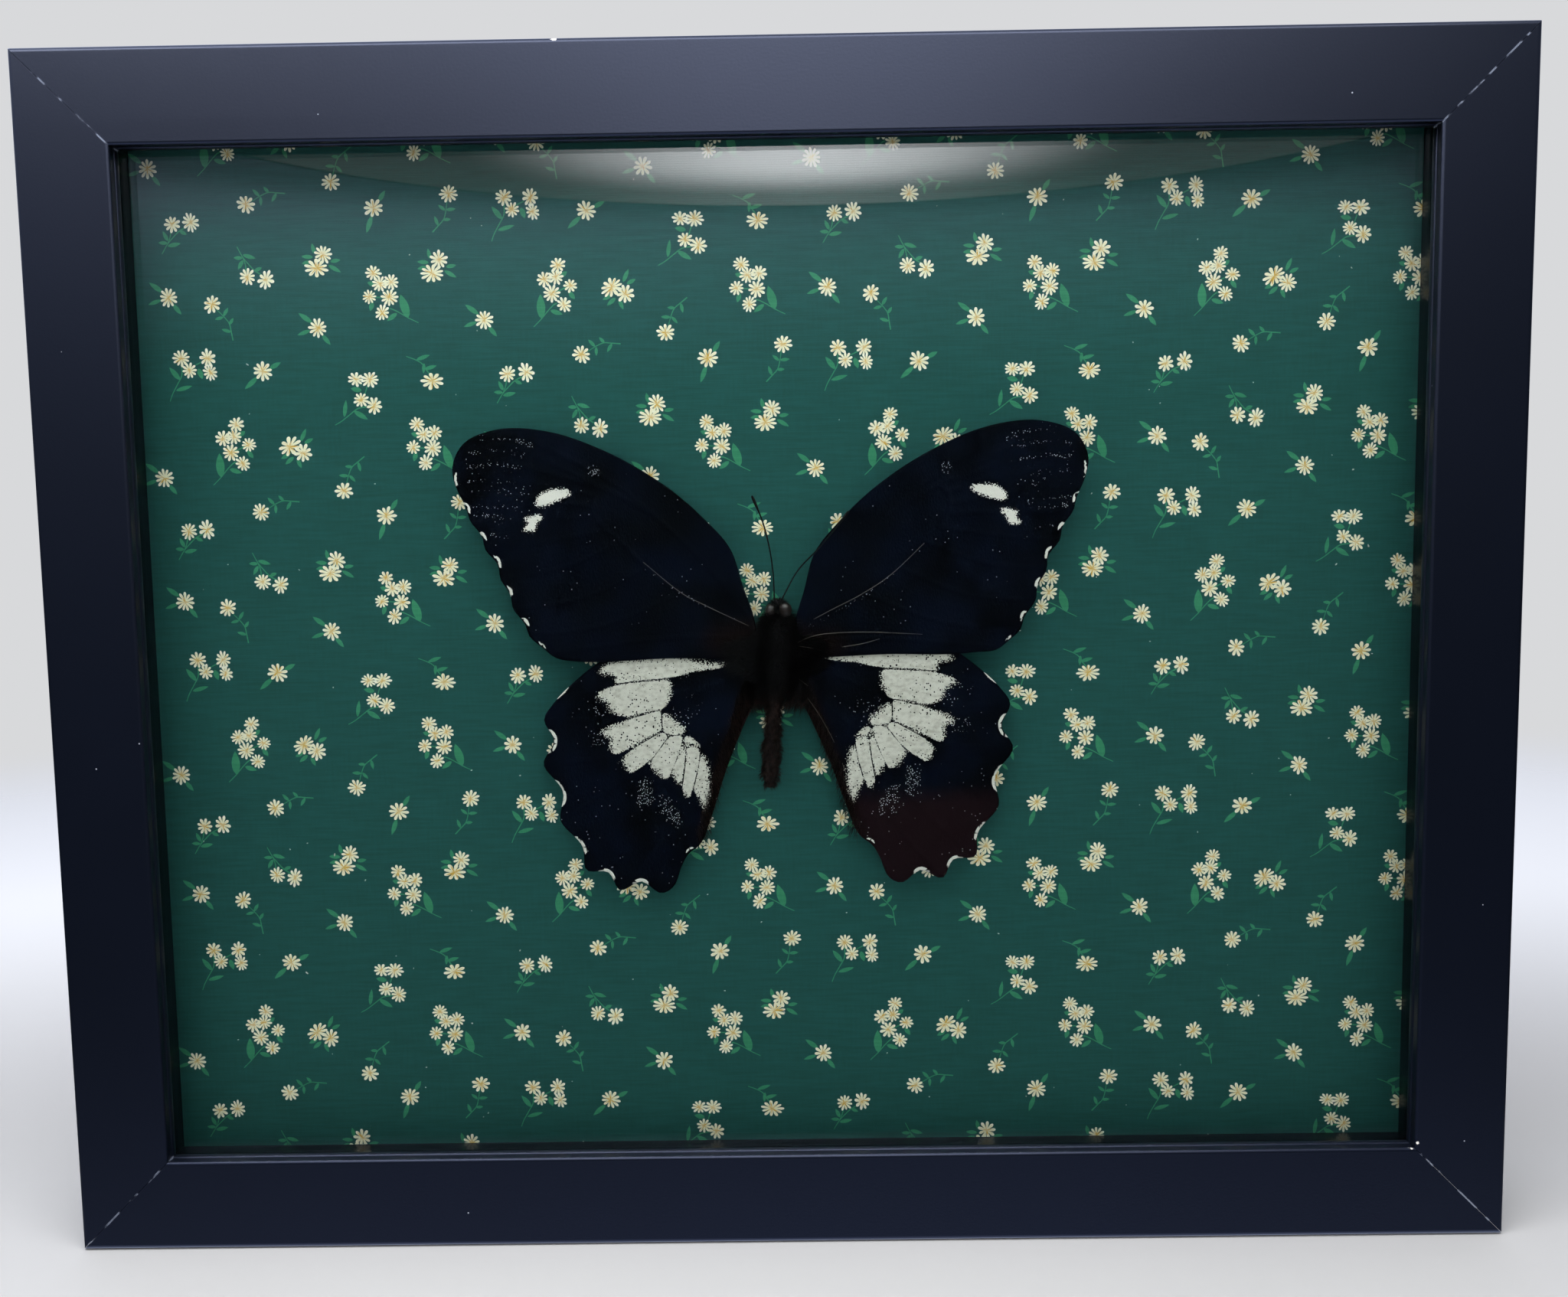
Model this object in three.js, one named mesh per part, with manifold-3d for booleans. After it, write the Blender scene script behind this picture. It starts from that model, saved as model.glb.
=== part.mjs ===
// A framed butterfly: a mitred shadow-box frame with glass, a fabric-covered panel, a spread butterfly
// glued on it, and a backing board held by four swivelling turn buttons. It stands on its bottom edge.
// Millimetres. +X is to the viewer's right, +Y goes from the glass to the back, +Z is up.
// The origin is the middle of the underside. "Depth" is measured from the frame's front face to the back.

import * as THREE from 'three';
import Module from 'manifold-3d';
import { mergeVertices } from 'three/addons/utils/BufferGeometryUtils.js';

// ---- driving dimensions ----

const frameWidth = 284;
const frameHeight = 233.2;
const frameDepth = 30;

// Moulding: one L-shaped section for all four rails
const faceWidth = 18;
const lipDepth = 4;
const wallThickness = 13.1;
const outerRound = 1.0;
const lipRound = 0.6;
const beadRadius = 0.75;
const beadRecess = 0.3;
const rearChamfer = 0.4;
const mitreGap = 0.1;
const blankLength = 2;

// Kerf in the rebate wall, for the turn buttons
const kerfDepth = 3.5;
const kerfWidth = 1.9;

// Layers behind the lip
const layerGap = 0.1;
const glassThickness = 2;
const sheetClearance = 0.5;
const linerThickness = 1.7;
const linerClearance = 0.3;
const panelDepth = 14;
const fabricThickness = 0.3;
const boardThickness = 5;
const backingThickness = 3;
const sheetArris = 0.2;

// Turn buttons and their rivets
const buttonLength = 22;
const buttonWidth = 8;
const buttonThickness = 0.8;
const buttonLift = 0.4;
const buttonReach = 2.5;
const buttonHeights = [60, 173.2];
const rivetShankRadius = 1.4;
const rivetHoleRadius = 1.5;
const boardHoleRadius = 1.7;
const rivetHeadRadius = 3.2;
const rivetHeadHeight = 1.1;
const domeSteps = 5;
const roundSegments = 24;
const drillLength = 8;

// Sawtooth hanger
const hangerLength = 44;
const hangerHeight = 9;
const hangerThickness = 0.8;
const hangerBow = 1.8;
const hangerTab = 8;
const hangerDrop = 12;
const toothPitch = 3;
const toothDepth = 1.8;
const toothWidth = 2.76;
const toothCount = 7;
const notchLength = 12;
const nailShankRadius = 0.7;
const nailHoleRadius = 0.9;
const nailBoardHoleRadius = 1.0;
const nailHeadRadius = 1.9;
const nailHeadHeight = 0.6;

// Butterfly: its body's middle line leans a little, and the wings are set by hand
const wingAxisX = -1.2;
const bodyX = -1.0;
const bodyZ = 118;
const bodyLean = THREE.MathUtils.degToRad(3.6);
const thoraxLift = 4.3;
const thoraxWidth = 6.2;
const thoraxThickness = 5.2;
const thoraxLength = 15.5;
const thoraxRise = 0.4;
const headSize = [4.6, 4.2, 5.0];
const headRise = 8.4;
const ballSegments = 20;
const ballRings = 14;
const abdomenSet = 0.5;
const abdomenSegments = 18;
const wingThickness = 0.4;
const wingEdgePoints = 150;
const forewingLift = 5.2;
const hindwingLift = 4.4;
const antennaRadius = 0.2;
const antennaLift = 5.0;
const antennaSteps = 22;
const glueRadius = 2.6;
const glueTopRadius = 2.08;
const glueSink = 0.5;

// ---- worked out from them ----

const frontY = -frameDepth / 2;
const rebateHalfWidth = frameWidth / 2 - wallThickness;
const rebateHalfHeight = frameHeight / 2 - wallThickness;
const middleZ = frameHeight / 2;
const sheetWidth = 2 * (rebateHalfWidth - sheetClearance);
const sheetHeight = 2 * (rebateHalfHeight - sheetClearance);
const glassDepth = lipDepth + layerGap;
const linerFront = glassDepth + glassThickness + layerGap;
const linerLength = panelDepth - layerGap - linerFront;
const boardDepth = panelDepth + fabricThickness + layerGap / 2;
const backingDepth = boardDepth + boardThickness + layerGap;
const backingRear = backingDepth + backingThickness;
const buttonDepth = backingRear + buttonLift;
const kerfDepthFromFront = buttonDepth + buttonThickness / 2 - kerfWidth / 2;

// Every y in the model comes from a depth behind the front face
const atDepth = (depth) => frontY + depth;

// ---- materials ----

const finishes = {
  paint: { color: 0x17182b, roughness: 0.42, metalness: 0 },
  glass: { color: 0xe8f2f0, roughness: 0.02, metalness: 0, transparent: true, opacity: 0.3 },
  liner: { color: 0x0b0c10, roughness: 0.25, metalness: 0 },
  fabric: { color: 0x21504a, roughness: 0.9, metalness: 0 },
  foam: { color: 0xf1efe8, roughness: 0.8, metalness: 0 },
  hardboard: { color: 0x8a6544, roughness: 0.7, metalness: 0 },
  steel: { color: 0xb9bbbd, roughness: 0.35, metalness: 1 },
  wing: { color: 0x07090f, roughness: 0.85, metalness: 0 },
  fur: { color: 0x16110e, roughness: 0.95, metalness: 0 },
  glue: { color: 0xd9cfae, roughness: 0.3, metalness: 0 },
};

function piece(name, geometry, finish) {
  const mesh = new THREE.Mesh(geometry, new THREE.MeshStandardMaterial(finishes[finish]));
  mesh.name = name;
  return mesh;
}

// ---- joining and cutting ----

const weldDistance = 1e-4;
const wasm = await Module();
wasm.setup();

function solid(geometry) {
  const bare = geometry.clone();
  bare.deleteAttribute('normal');
  bare.deleteAttribute('uv');
  const merged = mergeVertices(bare, weldDistance);
  return new wasm.Manifold(new wasm.Mesh({
    numProp: 3,
    vertProperties: new Float32Array(merged.attributes.position.array),
    triVerts: new Uint32Array(merged.index.array),
  }));
}

function geometryOf(manifold) {
  const mesh = manifold.getMesh();
  const geometry = new THREE.BufferGeometry();
  geometry.setAttribute('position', new THREE.BufferAttribute(mesh.vertProperties, 3));
  geometry.setIndex(new THREE.BufferAttribute(mesh.triVerts, 1));
  geometry.computeVertexNormals();
  return geometry;
}

// ---- frame rails ----

// Moulding section: x is the distance in from the rail's outer side, y the depth from its front face
function mouldingShape() {
  const shape = new THREE.Shape();
  const beadCentre = lipDepth - beadRadius;
  const beadSide = faceWidth - beadRecess;
  const kerfBottom = wallThickness - kerfDepth;
  const kerfEnd = kerfDepthFromFront + kerfWidth;
  shape.moveTo(0, outerRound);
  shape.absarc(outerRound, outerRound, outerRound, Math.PI, 1.5 * Math.PI, false);
  shape.lineTo(faceWidth - lipRound, 0);
  shape.absarc(faceWidth - lipRound, lipRound, lipRound, 1.5 * Math.PI, 2 * Math.PI, false);
  shape.lineTo(beadSide, lipRound + beadRecess);
  shape.lineTo(beadSide, beadCentre - beadRadius);
  shape.absellipse(beadSide, beadCentre, beadRecess, beadRadius, 1.5 * Math.PI, 2.5 * Math.PI, false, 0);
  shape.lineTo(wallThickness, lipDepth);
  shape.lineTo(wallThickness, kerfDepthFromFront);
  shape.lineTo(kerfBottom, kerfDepthFromFront);
  shape.lineTo(kerfBottom, kerfEnd);
  shape.lineTo(wallThickness, kerfEnd);
  shape.lineTo(wallThickness, frameDepth - rearChamfer);
  shape.lineTo(wallThickness - rearChamfer, frameDepth);
  shape.lineTo(rearChamfer, frameDepth);
  shape.lineTo(0, frameDepth - rearChamfer);
  return shape;
}

// A rail lies along x with its outer side at z = 0, and its ends are cut back at 45 degrees
function railGeometry(length) {
  const geometry = new THREE.ExtrudeGeometry(mouldingShape(), {
    depth: blankLength,
    steps: 1,
    bevelEnabled: false,
    curveSegments: 6,
  });
  const place = geometry.attributes.position;
  for (let i = 0; i < place.count; i += 1) {
    const inward = place.getX(i);
    const depth = place.getY(i);
    const end = place.getZ(i) > blankLength / 2 ? -1 : 1;
    place.setXYZ(i, end * (length / 2 - inward - mitreGap / 2), atDepth(depth), inward);
  }
  return geometry;
}

function frameRails() {
  const sides = [
    { name: 'rail_bottom', length: frameWidth, x: 0, z: 0, turn: 0 },
    { name: 'rail_top', length: frameWidth, x: 0, z: frameHeight, turn: Math.PI },
    { name: 'rail_left', length: frameHeight, x: -frameWidth / 2, z: middleZ, turn: Math.PI / 2 },
    { name: 'rail_right', length: frameHeight, x: frameWidth / 2, z: middleZ, turn: -Math.PI / 2 },
  ];
  const group = new THREE.Group();
  for (const side of sides) {
    const rail = piece(side.name, railGeometry(side.length), 'paint');
    rail.position.set(side.x, 0, side.z);
    rail.rotation.y = side.turn;
    group.add(rail);
  }
  return group;
}

// ---- flat layers ----

// A sheet with its four edges broken by a small arris, standing between two depths
function sheetGeometry(width, height, thickness, arris) {
  const halfWidth = width / 2 - arris;
  const halfHeight = height / 2 - arris;
  const outline = new THREE.Shape([
    new THREE.Vector2(-halfWidth, -halfHeight),
    new THREE.Vector2(halfWidth, -halfHeight),
    new THREE.Vector2(halfWidth, halfHeight),
    new THREE.Vector2(-halfWidth, halfHeight),
  ]);
  return new THREE.ExtrudeGeometry(outline, {
    depth: thickness - 2 * arris,
    bevelEnabled: arris > 0,
    bevelThickness: arris,
    bevelSize: arris,
    bevelSegments: 1,
  });
}

// Extruded shapes are drawn in x and z, and their thickness goes from the rear forwards
function standUp(mesh, x, rearDepth, z) {
  mesh.rotation.x = Math.PI / 2;
  mesh.position.set(x, atDepth(rearDepth), z);
  return mesh;
}

function flatLayer(name, depth, thickness, finish) {
  const arris = thickness > 2 * sheetArris ? sheetArris : 0;
  const mesh = piece(name, sheetGeometry(sheetWidth, sheetHeight, thickness, arris), finish);
  return standUp(mesh, 0, depth + thickness - arris, middleZ);
}

function backingBoard() {
  const board = flatLayer('backing_board', backingDepth, backingThickness, 'hardboard');
  board.updateMatrix();
  let body = solid(board.geometry.clone().applyMatrix4(board.matrix));
  const holes = [
    ...buttonPlaces().map((place) => [place.x, place.z, boardHoleRadius]),
    ...nailPlaces().map((place) => [place.x, place.z, nailBoardHoleRadius]),
  ];
  for (const [x, z, radius] of holes) {
    const drill = new THREE.CylinderGeometry(radius, radius, drillLength, roundSegments);
    drill.translate(x, atDepth(backingRear), z);
    body = body.subtract(solid(drill));
  }
  return piece('backing_board', geometryOf(body), 'hardboard');
}

function liners() {
  const outerX = rebateHalfWidth - linerClearance;
  const outerZ = rebateHalfHeight - linerClearance;
  const sideLength = 2 * (outerZ - linerThickness - layerGap);
  const offsetX = outerX - linerThickness / 2;
  const offsetZ = outerZ - linerThickness / 2;
  const strips = [
    { name: 'liner_top', size: [2 * outerX, linerThickness], x: 0, z: middleZ + offsetZ },
    { name: 'liner_bottom', size: [2 * outerX, linerThickness], x: 0, z: middleZ - offsetZ },
    { name: 'liner_left', size: [linerThickness, sideLength], x: -offsetX, z: middleZ },
    { name: 'liner_right', size: [linerThickness, sideLength], x: offsetX, z: middleZ },
  ];
  const group = new THREE.Group();
  for (const strip of strips) {
    const geometry = sheetGeometry(strip.size[0], strip.size[1], linerLength, sheetArris);
    const rear = linerFront + linerLength - sheetArris;
    group.add(standUp(piece(strip.name, geometry, 'liner'), strip.x, rear, strip.z));
  }
  return group;
}

// ---- turn buttons and hanger ----

function buttonPlaces() {
  const offset = rebateHalfWidth - (buttonLength / 2 - buttonReach);
  return [-1, 1].flatMap((side) => buttonHeights.map((z) => ({ x: side * offset, z })));
}

function buttonGeometry() {
  const half = (buttonLength - buttonWidth) / 2;
  const outline = new THREE.Shape();
  outline.absarc(half, 0, buttonWidth / 2, -Math.PI / 2, Math.PI / 2, false);
  outline.absarc(-half, 0, buttonWidth / 2, Math.PI / 2, 1.5 * Math.PI, false);
  outline.closePath();
  const hole = new THREE.Path();
  hole.absarc(0, 0, rivetHoleRadius, 0, 2 * Math.PI, true);
  outline.holes.push(hole);
  return new THREE.ExtrudeGeometry(outline, {
    depth: buttonThickness,
    bevelEnabled: false,
    curveSegments: roundSegments / 2,
  });
}

// A round-headed fastener on the y axis: its shank starts at y = 0 and its head is at the rear
function fastenerGeometry(shankRadius, shankLength, headRadius, headHeight) {
  const profile = [new THREE.Vector2(0, 0), new THREE.Vector2(shankRadius, 0)];
  profile.push(new THREE.Vector2(shankRadius, shankLength));
  for (let i = 0; i <= domeSteps; i += 1) {
    const angle = (i / domeSteps) * (Math.PI / 2);
    const radius = i === domeSteps ? 0 : headRadius * Math.cos(angle);
    profile.push(new THREE.Vector2(radius, shankLength + headHeight * Math.sin(angle)));
  }
  return new THREE.LatheGeometry(profile, roundSegments);
}

function turnButtons() {
  const group = new THREE.Group();
  const shankFront = backingDepth + layerGap;
  const shankRear = buttonDepth + buttonThickness + layerGap;
  const shankLength = shankRear - shankFront;
  buttonPlaces().forEach((place, i) => {
    const button = piece(`turn_button_${i + 1}`, buttonGeometry(), 'steel');
    group.add(standUp(button, place.x, buttonDepth + buttonThickness, place.z));
    const shape = fastenerGeometry(rivetShankRadius, shankLength, rivetHeadRadius, rivetHeadHeight);
    const rivet = piece(`turn_rivet_${i + 1}`, shape, 'steel');
    rivet.position.set(place.x, atDepth(shankFront), place.z);
    group.add(rivet);
  });
  return group;
}

const hangerZ = frameHeight - wallThickness - hangerDrop;

function nailPlaces() {
  const offset = hangerLength / 2 - hangerTab / 2;
  return [-offset, offset].map((x) => ({ x, z: hangerZ }));
}

// Hanger: a strip bowed away from the board between two flat tabs, toothed along its lower edge
function hanger() {
  const half = hangerLength / 2;
  const inner = half - hangerTab;
  const crest = inner - hangerBow;
  const front = [[-half, 0], [-inner, 0], [-crest, hangerBow], [crest, hangerBow], [inner, 0], [half, 0]];
  const rear = front.map(([x, y]) => [x, y + hangerThickness]).reverse();
  const outline = new THREE.Shape([...front, ...rear].map(([x, y]) => new THREE.Vector2(x, y)));
  const strip = new THREE.ExtrudeGeometry(outline, { depth: hangerHeight, bevelEnabled: false });
  strip.translate(0, atDepth(backingRear + layerGap), hangerZ - hangerHeight / 2);
  let body = solid(strip);
  const lowerEdge = hangerZ - hangerHeight / 2;
  for (let i = 0; i < toothCount; i += 1) {
    const x = (i - (toothCount - 1) / 2) * toothPitch;
    const notch = new THREE.CylinderGeometry(toothDepth, toothDepth, notchLength, 4);
    notch.scale(toothWidth / 2 / toothDepth, 1, 1);
    notch.translate(x, atDepth(backingRear + hangerBow), lowerEdge);
    body = body.subtract(solid(notch));
  }
  for (const place of nailPlaces()) {
    const drill = new THREE.CylinderGeometry(nailHoleRadius, nailHoleRadius, drillLength, roundSegments);
    drill.translate(place.x, atDepth(backingRear), place.z);
    body = body.subtract(solid(drill));
  }
  return piece('hanger', geometryOf(body), 'steel');
}

function hangerNails() {
  const group = new THREE.Group();
  const shankFront = backingDepth + layerGap;
  const shankRear = backingRear + hangerThickness + 2 * layerGap;
  const shankLength = shankRear - shankFront;
  const names = ['hanger_nail_left', 'hanger_nail_right'];
  nailPlaces().forEach((place, i) => {
    const shape = fastenerGeometry(nailShankRadius, shankLength, nailHeadRadius, nailHeadHeight);
    const nail = piece(names[i], shape, 'steel');
    nail.position.set(place.x, atDepth(shankFront), place.z);
    group.add(nail);
  });
  return group;
}

// ---- butterfly ----

// Wing outlines in millimetres: first the distance out from the body's middle line, then the height above
// the thorax's middle. The outer margins run in scallops, from vein end to valley to vein end.
const forewingOutline = [
  [3.9, 5.6], [6.2, 13.0], [8.6, 20.4], [13.3, 26.0], [21.0, 32.8], [31.9, 39.4], [43.5, 43.7],
  [53.5, 44.4], [60.4, 41.8], [62.8, 37.2], [62.3, 33.4], [60.4, 29.1], [59.7, 26.6], [57.5, 23.6],
  [56.9, 20.9], [54.6, 18.0], [54.1, 15.0], [52.3, 12.1], [51.8, 9.2], [49.5, 6.0], [48.7, 3.6],
  [46.3, 1.4], [43.6, -0.9], [39.9, -1.8], [34.0, -2.0], [22.0, -1.5], [10.0, -1.6], [3.9, -1.4],
];

const hindwingOutline = [
  [3.9, -2.6], [14.0, 1.4], [26.0, 2.4], [35.2, -1.8], [41.3, -6.6], [44.4, -9.8], [46.5, -13.2],
  [44.7, -17.6], [46.9, -22.2], [43.2, -27.8], [43.8, -33.8], [39.6, -39.0], [38.9, -44.0],
  [34.5, -44.5], [32.2, -48.2], [27.8, -46.5], [23.9, -48.9], [21.3, -47.6], [19.6, -43.4],
  [18.2, -41.0], [15.6, -38.8], [12.8, -31.6], [10.1, -23.6], [6.6, -15.0], [3.9, -9.0],
];

// Each wing of a pair is the same outline, turned a little and lifted as it was set when it dried
const wings = [
  { name: 'forewing_left', side: -1, outline: forewingOutline, lift: forewingLift, turn: 0, rise: 0 },
  { name: 'forewing_right', side: 1, outline: forewingOutline, lift: forewingLift, turn: 1.5, rise: -1.3 },
  { name: 'hindwing_left', side: -1, outline: hindwingOutline, lift: hindwingLift, turn: 0, rise: 0 },
  { name: 'hindwing_right', side: 1, outline: hindwingOutline, lift: hindwingLift, turn: 1.0, rise: 1.1 },
];

function wingMesh(wing) {
  const turn = THREE.MathUtils.degToRad(wing.turn);
  const corners = wing.outline.map(([out, up]) => {
    const x = out * Math.cos(turn) - up * Math.sin(turn);
    const z = out * Math.sin(turn) + up * Math.cos(turn) + wing.rise;
    return new THREE.Vector3(wing.side * x, z, 0);
  });
  const edge = new THREE.CatmullRomCurve3(corners, true, 'centripetal').getSpacedPoints(wingEdgePoints);
  const shape = new THREE.Shape(edge.slice(0, -1).map((point) => new THREE.Vector2(point.x, point.y)));
  const geometry = new THREE.ExtrudeGeometry(shape, { depth: wingThickness, bevelEnabled: false });
  const rear = panelDepth - wing.lift + wingThickness / 2;
  return standUp(piece(wing.name, geometry, 'wing'), wingAxisX, rear, bodyZ);
}

function ellipsoid(size, centre) {
  const ball = new THREE.SphereGeometry(0.5, ballSegments, ballRings);
  ball.scale(size[0], size[1], size[2]);
  ball.translate(centre[0], centre[1], centre[2]);
  return solid(ball);
}

// Abdomen: a turned taper along z, from the thorax down to a rounded tip
const abdomenProfile = [
  [0, -28.6], [1.0, -28.0], [1.7, -26.4], [2.0, -23.6], [2.1, -17.0], [2.2, -9.0], [1.8, -5.0], [0, -4.6],
];

function abdomen(centreY) {
  const profile = abdomenProfile.map(([radius, z]) => new THREE.Vector2(radius, z));
  const turned = new THREE.LatheGeometry(profile, abdomenSegments);
  turned.rotateX(Math.PI / 2);
  turned.translate(0, centreY, 0);
  return solid(turned);
}

function butterflyBody() {
  const y = atDepth(panelDepth - thoraxLift);
  let body = ellipsoid([thoraxWidth, thoraxThickness, thoraxLength], [0, y, thoraxRise]);
  body = body.add(ellipsoid(headSize, [0, y, headRise]));
  body = body.add(abdomen(y + abdomenSet));
  const mesh = piece('butterfly_body', geometryOf(body), 'fur');
  mesh.position.set(bodyX, 0, bodyZ);
  mesh.rotation.y = bodyLean;
  return mesh;
}

// Antennae: two thin shafts that spread from the top of the head
function antenna(name, points) {
  const y = atDepth(panelDepth - antennaLift);
  const path = new THREE.CatmullRomCurve3(points.map(([x, z, rise]) => new THREE.Vector3(x, y - rise, z)));
  const section = new THREE.Shape();
  section.absarc(0, 0, antennaRadius, 0, 2 * Math.PI, false);
  const options = { steps: antennaSteps, curveSegments: 3, bevelEnabled: false, extrudePath: path };
  return piece(name, new THREE.ExtrudeGeometry(section, options), 'fur');
}

function antennae() {
  const group = new THREE.Group();
  group.add(antenna('antenna_left', [
    [-1.5, 129.6, 0], [-1.5, 133.7, 0.3], [-2.2, 139.3, 0.6], [-3.4, 143.9, 0.7], [-5.3, 148.6, 0.6],
  ]));
  group.add(antenna('antenna_right', [
    [-0.3, 129.6, 0], [3.5, 133.9, 0.3], [7.4, 137.8, 0.6], [10.4, 141.2, 0.7], [13.7, 145.2, 0.6],
  ]));
  return group;
}

function glueDab() {
  const top = glueSink + thoraxThickness / 2 - thoraxLift;
  const profile = [[0, top], [glueTopRadius, top], [glueRadius, 0], [0, 0]];
  const geometry = new THREE.LatheGeometry(profile.map(([r, y]) => new THREE.Vector2(r, y)), roundSegments);
  const dab = piece('glue_dab', geometry, 'glue');
  dab.position.set(bodyX, atDepth(panelDepth - layerGap), bodyZ);
  return dab;
}

function butterfly() {
  const group = new THREE.Group();
  group.add(butterflyBody(), ...wings.map(wingMesh), antennae(), glueDab());
  return group;
}

// ---- the whole object ----

const framedButterfly = new THREE.Group();
framedButterfly.add(
  frameRails(),
  flatLayer('glass_pane', glassDepth, glassThickness, 'glass'),
  liners(),
  flatLayer('backing_fabric', panelDepth, fabricThickness, 'fabric'),
  flatLayer('mount_board', boardDepth, boardThickness, 'foam'),
  backingBoard(),
  turnButtons(),
  hanger(),
  hangerNails(),
  butterfly(),
);

export default framedButterfly;
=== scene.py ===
import math
import random

import bpy
import numpy as np
from mathutils import Matrix, Vector
from mathutils.geometry import delaunay_2d_cdt


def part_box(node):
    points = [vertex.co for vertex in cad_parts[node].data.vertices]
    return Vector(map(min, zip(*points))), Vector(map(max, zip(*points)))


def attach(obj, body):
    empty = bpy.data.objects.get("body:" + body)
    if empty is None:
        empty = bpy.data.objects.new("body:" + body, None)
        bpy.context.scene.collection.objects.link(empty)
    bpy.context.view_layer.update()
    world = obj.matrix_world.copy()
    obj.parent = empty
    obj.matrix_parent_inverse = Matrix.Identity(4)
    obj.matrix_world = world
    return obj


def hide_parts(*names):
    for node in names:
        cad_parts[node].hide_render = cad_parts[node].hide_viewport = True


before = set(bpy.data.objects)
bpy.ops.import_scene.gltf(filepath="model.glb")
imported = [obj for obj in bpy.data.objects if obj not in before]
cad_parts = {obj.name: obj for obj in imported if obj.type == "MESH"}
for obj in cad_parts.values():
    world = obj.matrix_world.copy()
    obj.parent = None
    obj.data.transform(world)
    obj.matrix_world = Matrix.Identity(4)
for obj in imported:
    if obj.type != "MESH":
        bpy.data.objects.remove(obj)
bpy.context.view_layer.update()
mm = 0.001
random.seed(7)
print("frame loaded")


# Camera: level with the middle of the frame, close in front, tipped down a little
cameraSetup = {
    "place": (0.0024, -0.2567, 0.1394),
    "turn": (85.208, 0.882, 0.352),  # degrees, and a level one would be 90, 0, 0
    "lens": 29.0,
    "sensor": 36.0,
    "clip": (0.005, 30),
}


def addCamera():
    data = bpy.data.cameras.new("camera")
    data.lens = cameraSetup["lens"]
    data.sensor_width = cameraSetup["sensor"]
    data.clip_start, data.clip_end = cameraSetup["clip"]
    camera = bpy.data.objects.new("camera", data)
    camera.location = cameraSetup["place"]
    camera.rotation_euler = [math.radians(angle) for angle in cameraSetup["turn"]]
    bpy.context.scene.collection.objects.link(camera)
    bpy.context.scene.camera = camera


addCamera()
print("camera placed")


# An sRGB hex colour as the linear one that a shader takes
def paint(code):
    parts = [int(code[i:i + 2], 16) / 255 for i in (1, 3, 5)]
    linear = [c / 12.92 if c <= 0.04045 else ((c + 0.055) / 1.055) ** 2.4 for c in parts]
    return (*linear, 1.0)


# Sockets take a plain value, an output, or a node, which stands for the first output that it uses
def feed(tree, node, sockets):
    for socket, value in sockets.items():
        if isinstance(value, bpy.types.Node):
            value = next(output for output in value.outputs if output.enabled)
        if isinstance(value, bpy.types.NodeSocket):
            tree.links.new(value, node.inputs[socket])
        else:
            node.inputs[socket].default_value = value


def addNode(tree, kind, sockets=None, **settings):
    node = tree.nodes.new("ShaderNode" + kind)
    for name, value in settings.items():
        setattr(node, name, value)
    feed(tree, node, sockets or {})
    return node


def newMaterial(name, look):
    material = bpy.data.materials.new(name)
    material.use_nodes = True
    tree = material.node_tree
    shader = tree.nodes["Principled BSDF"]
    feed(tree, shader, look)
    return material, tree, shader


# Where a point lies on the object, in millimetres
def placeInMm(tree):
    spot = addNode(tree, "TexCoord").outputs["Object"]
    return addNode(tree, "VectorMath", {0: spot, "Scale": 1 / mm}, operation="SCALE")


# How a Map Range node turns a value that goes from one limit to the other into 0 to 1, eased at both ends
eased = {"interpolation_type": "SMOOTHSTEP"}
colours = {"data_type": "RGBA"}  # for a Mix node: 0 is the share, 6 and 7 are the two colours

# Lengths in these dictionaries are in mm. A size is how far across the features of a pattern are.
wrap = {
    "black": "#020408",
    "blueBlack": "#04070f",
    "sheen": "#ccd8ff",
    "roughness": 0.36,
    "mottle": 40.0,
    "pebble": 0.5,
    "pebbleDepth": 0.012,
    "scratch": "#6d7482",
    "scratchEdge": (0.3, 0.12),  # the rubbed line at a mitre fades from the one distance to the other
    "scratchSize": 2.2,
    "chipWhite": "#d9d5cb",
    # chips at the inner corners and on the top edge: x, z and radius
    "chips": [(-123.7, 18.2, 0.5), (123.3, 18.3, 0.85), (124.5, 19.1, 0.5), (-40.3, 233.0, 0.8)],
    "speck": "#8b9099",
    "speckStep": 9.0,
    "board": "#9a7a52",
    "paleBoard": "#b7966c",
    "boardFibre": 0.7,
    "boardRoughness": 0.9,
    "halfWidth": 142.0,
    "halfHeight": 116.6,
    "foilTurn": 0.6,  # how far the foil turns over the rear edge
    "backOfLip": -10.95,
    "frontFace": -15.0,
}


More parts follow.
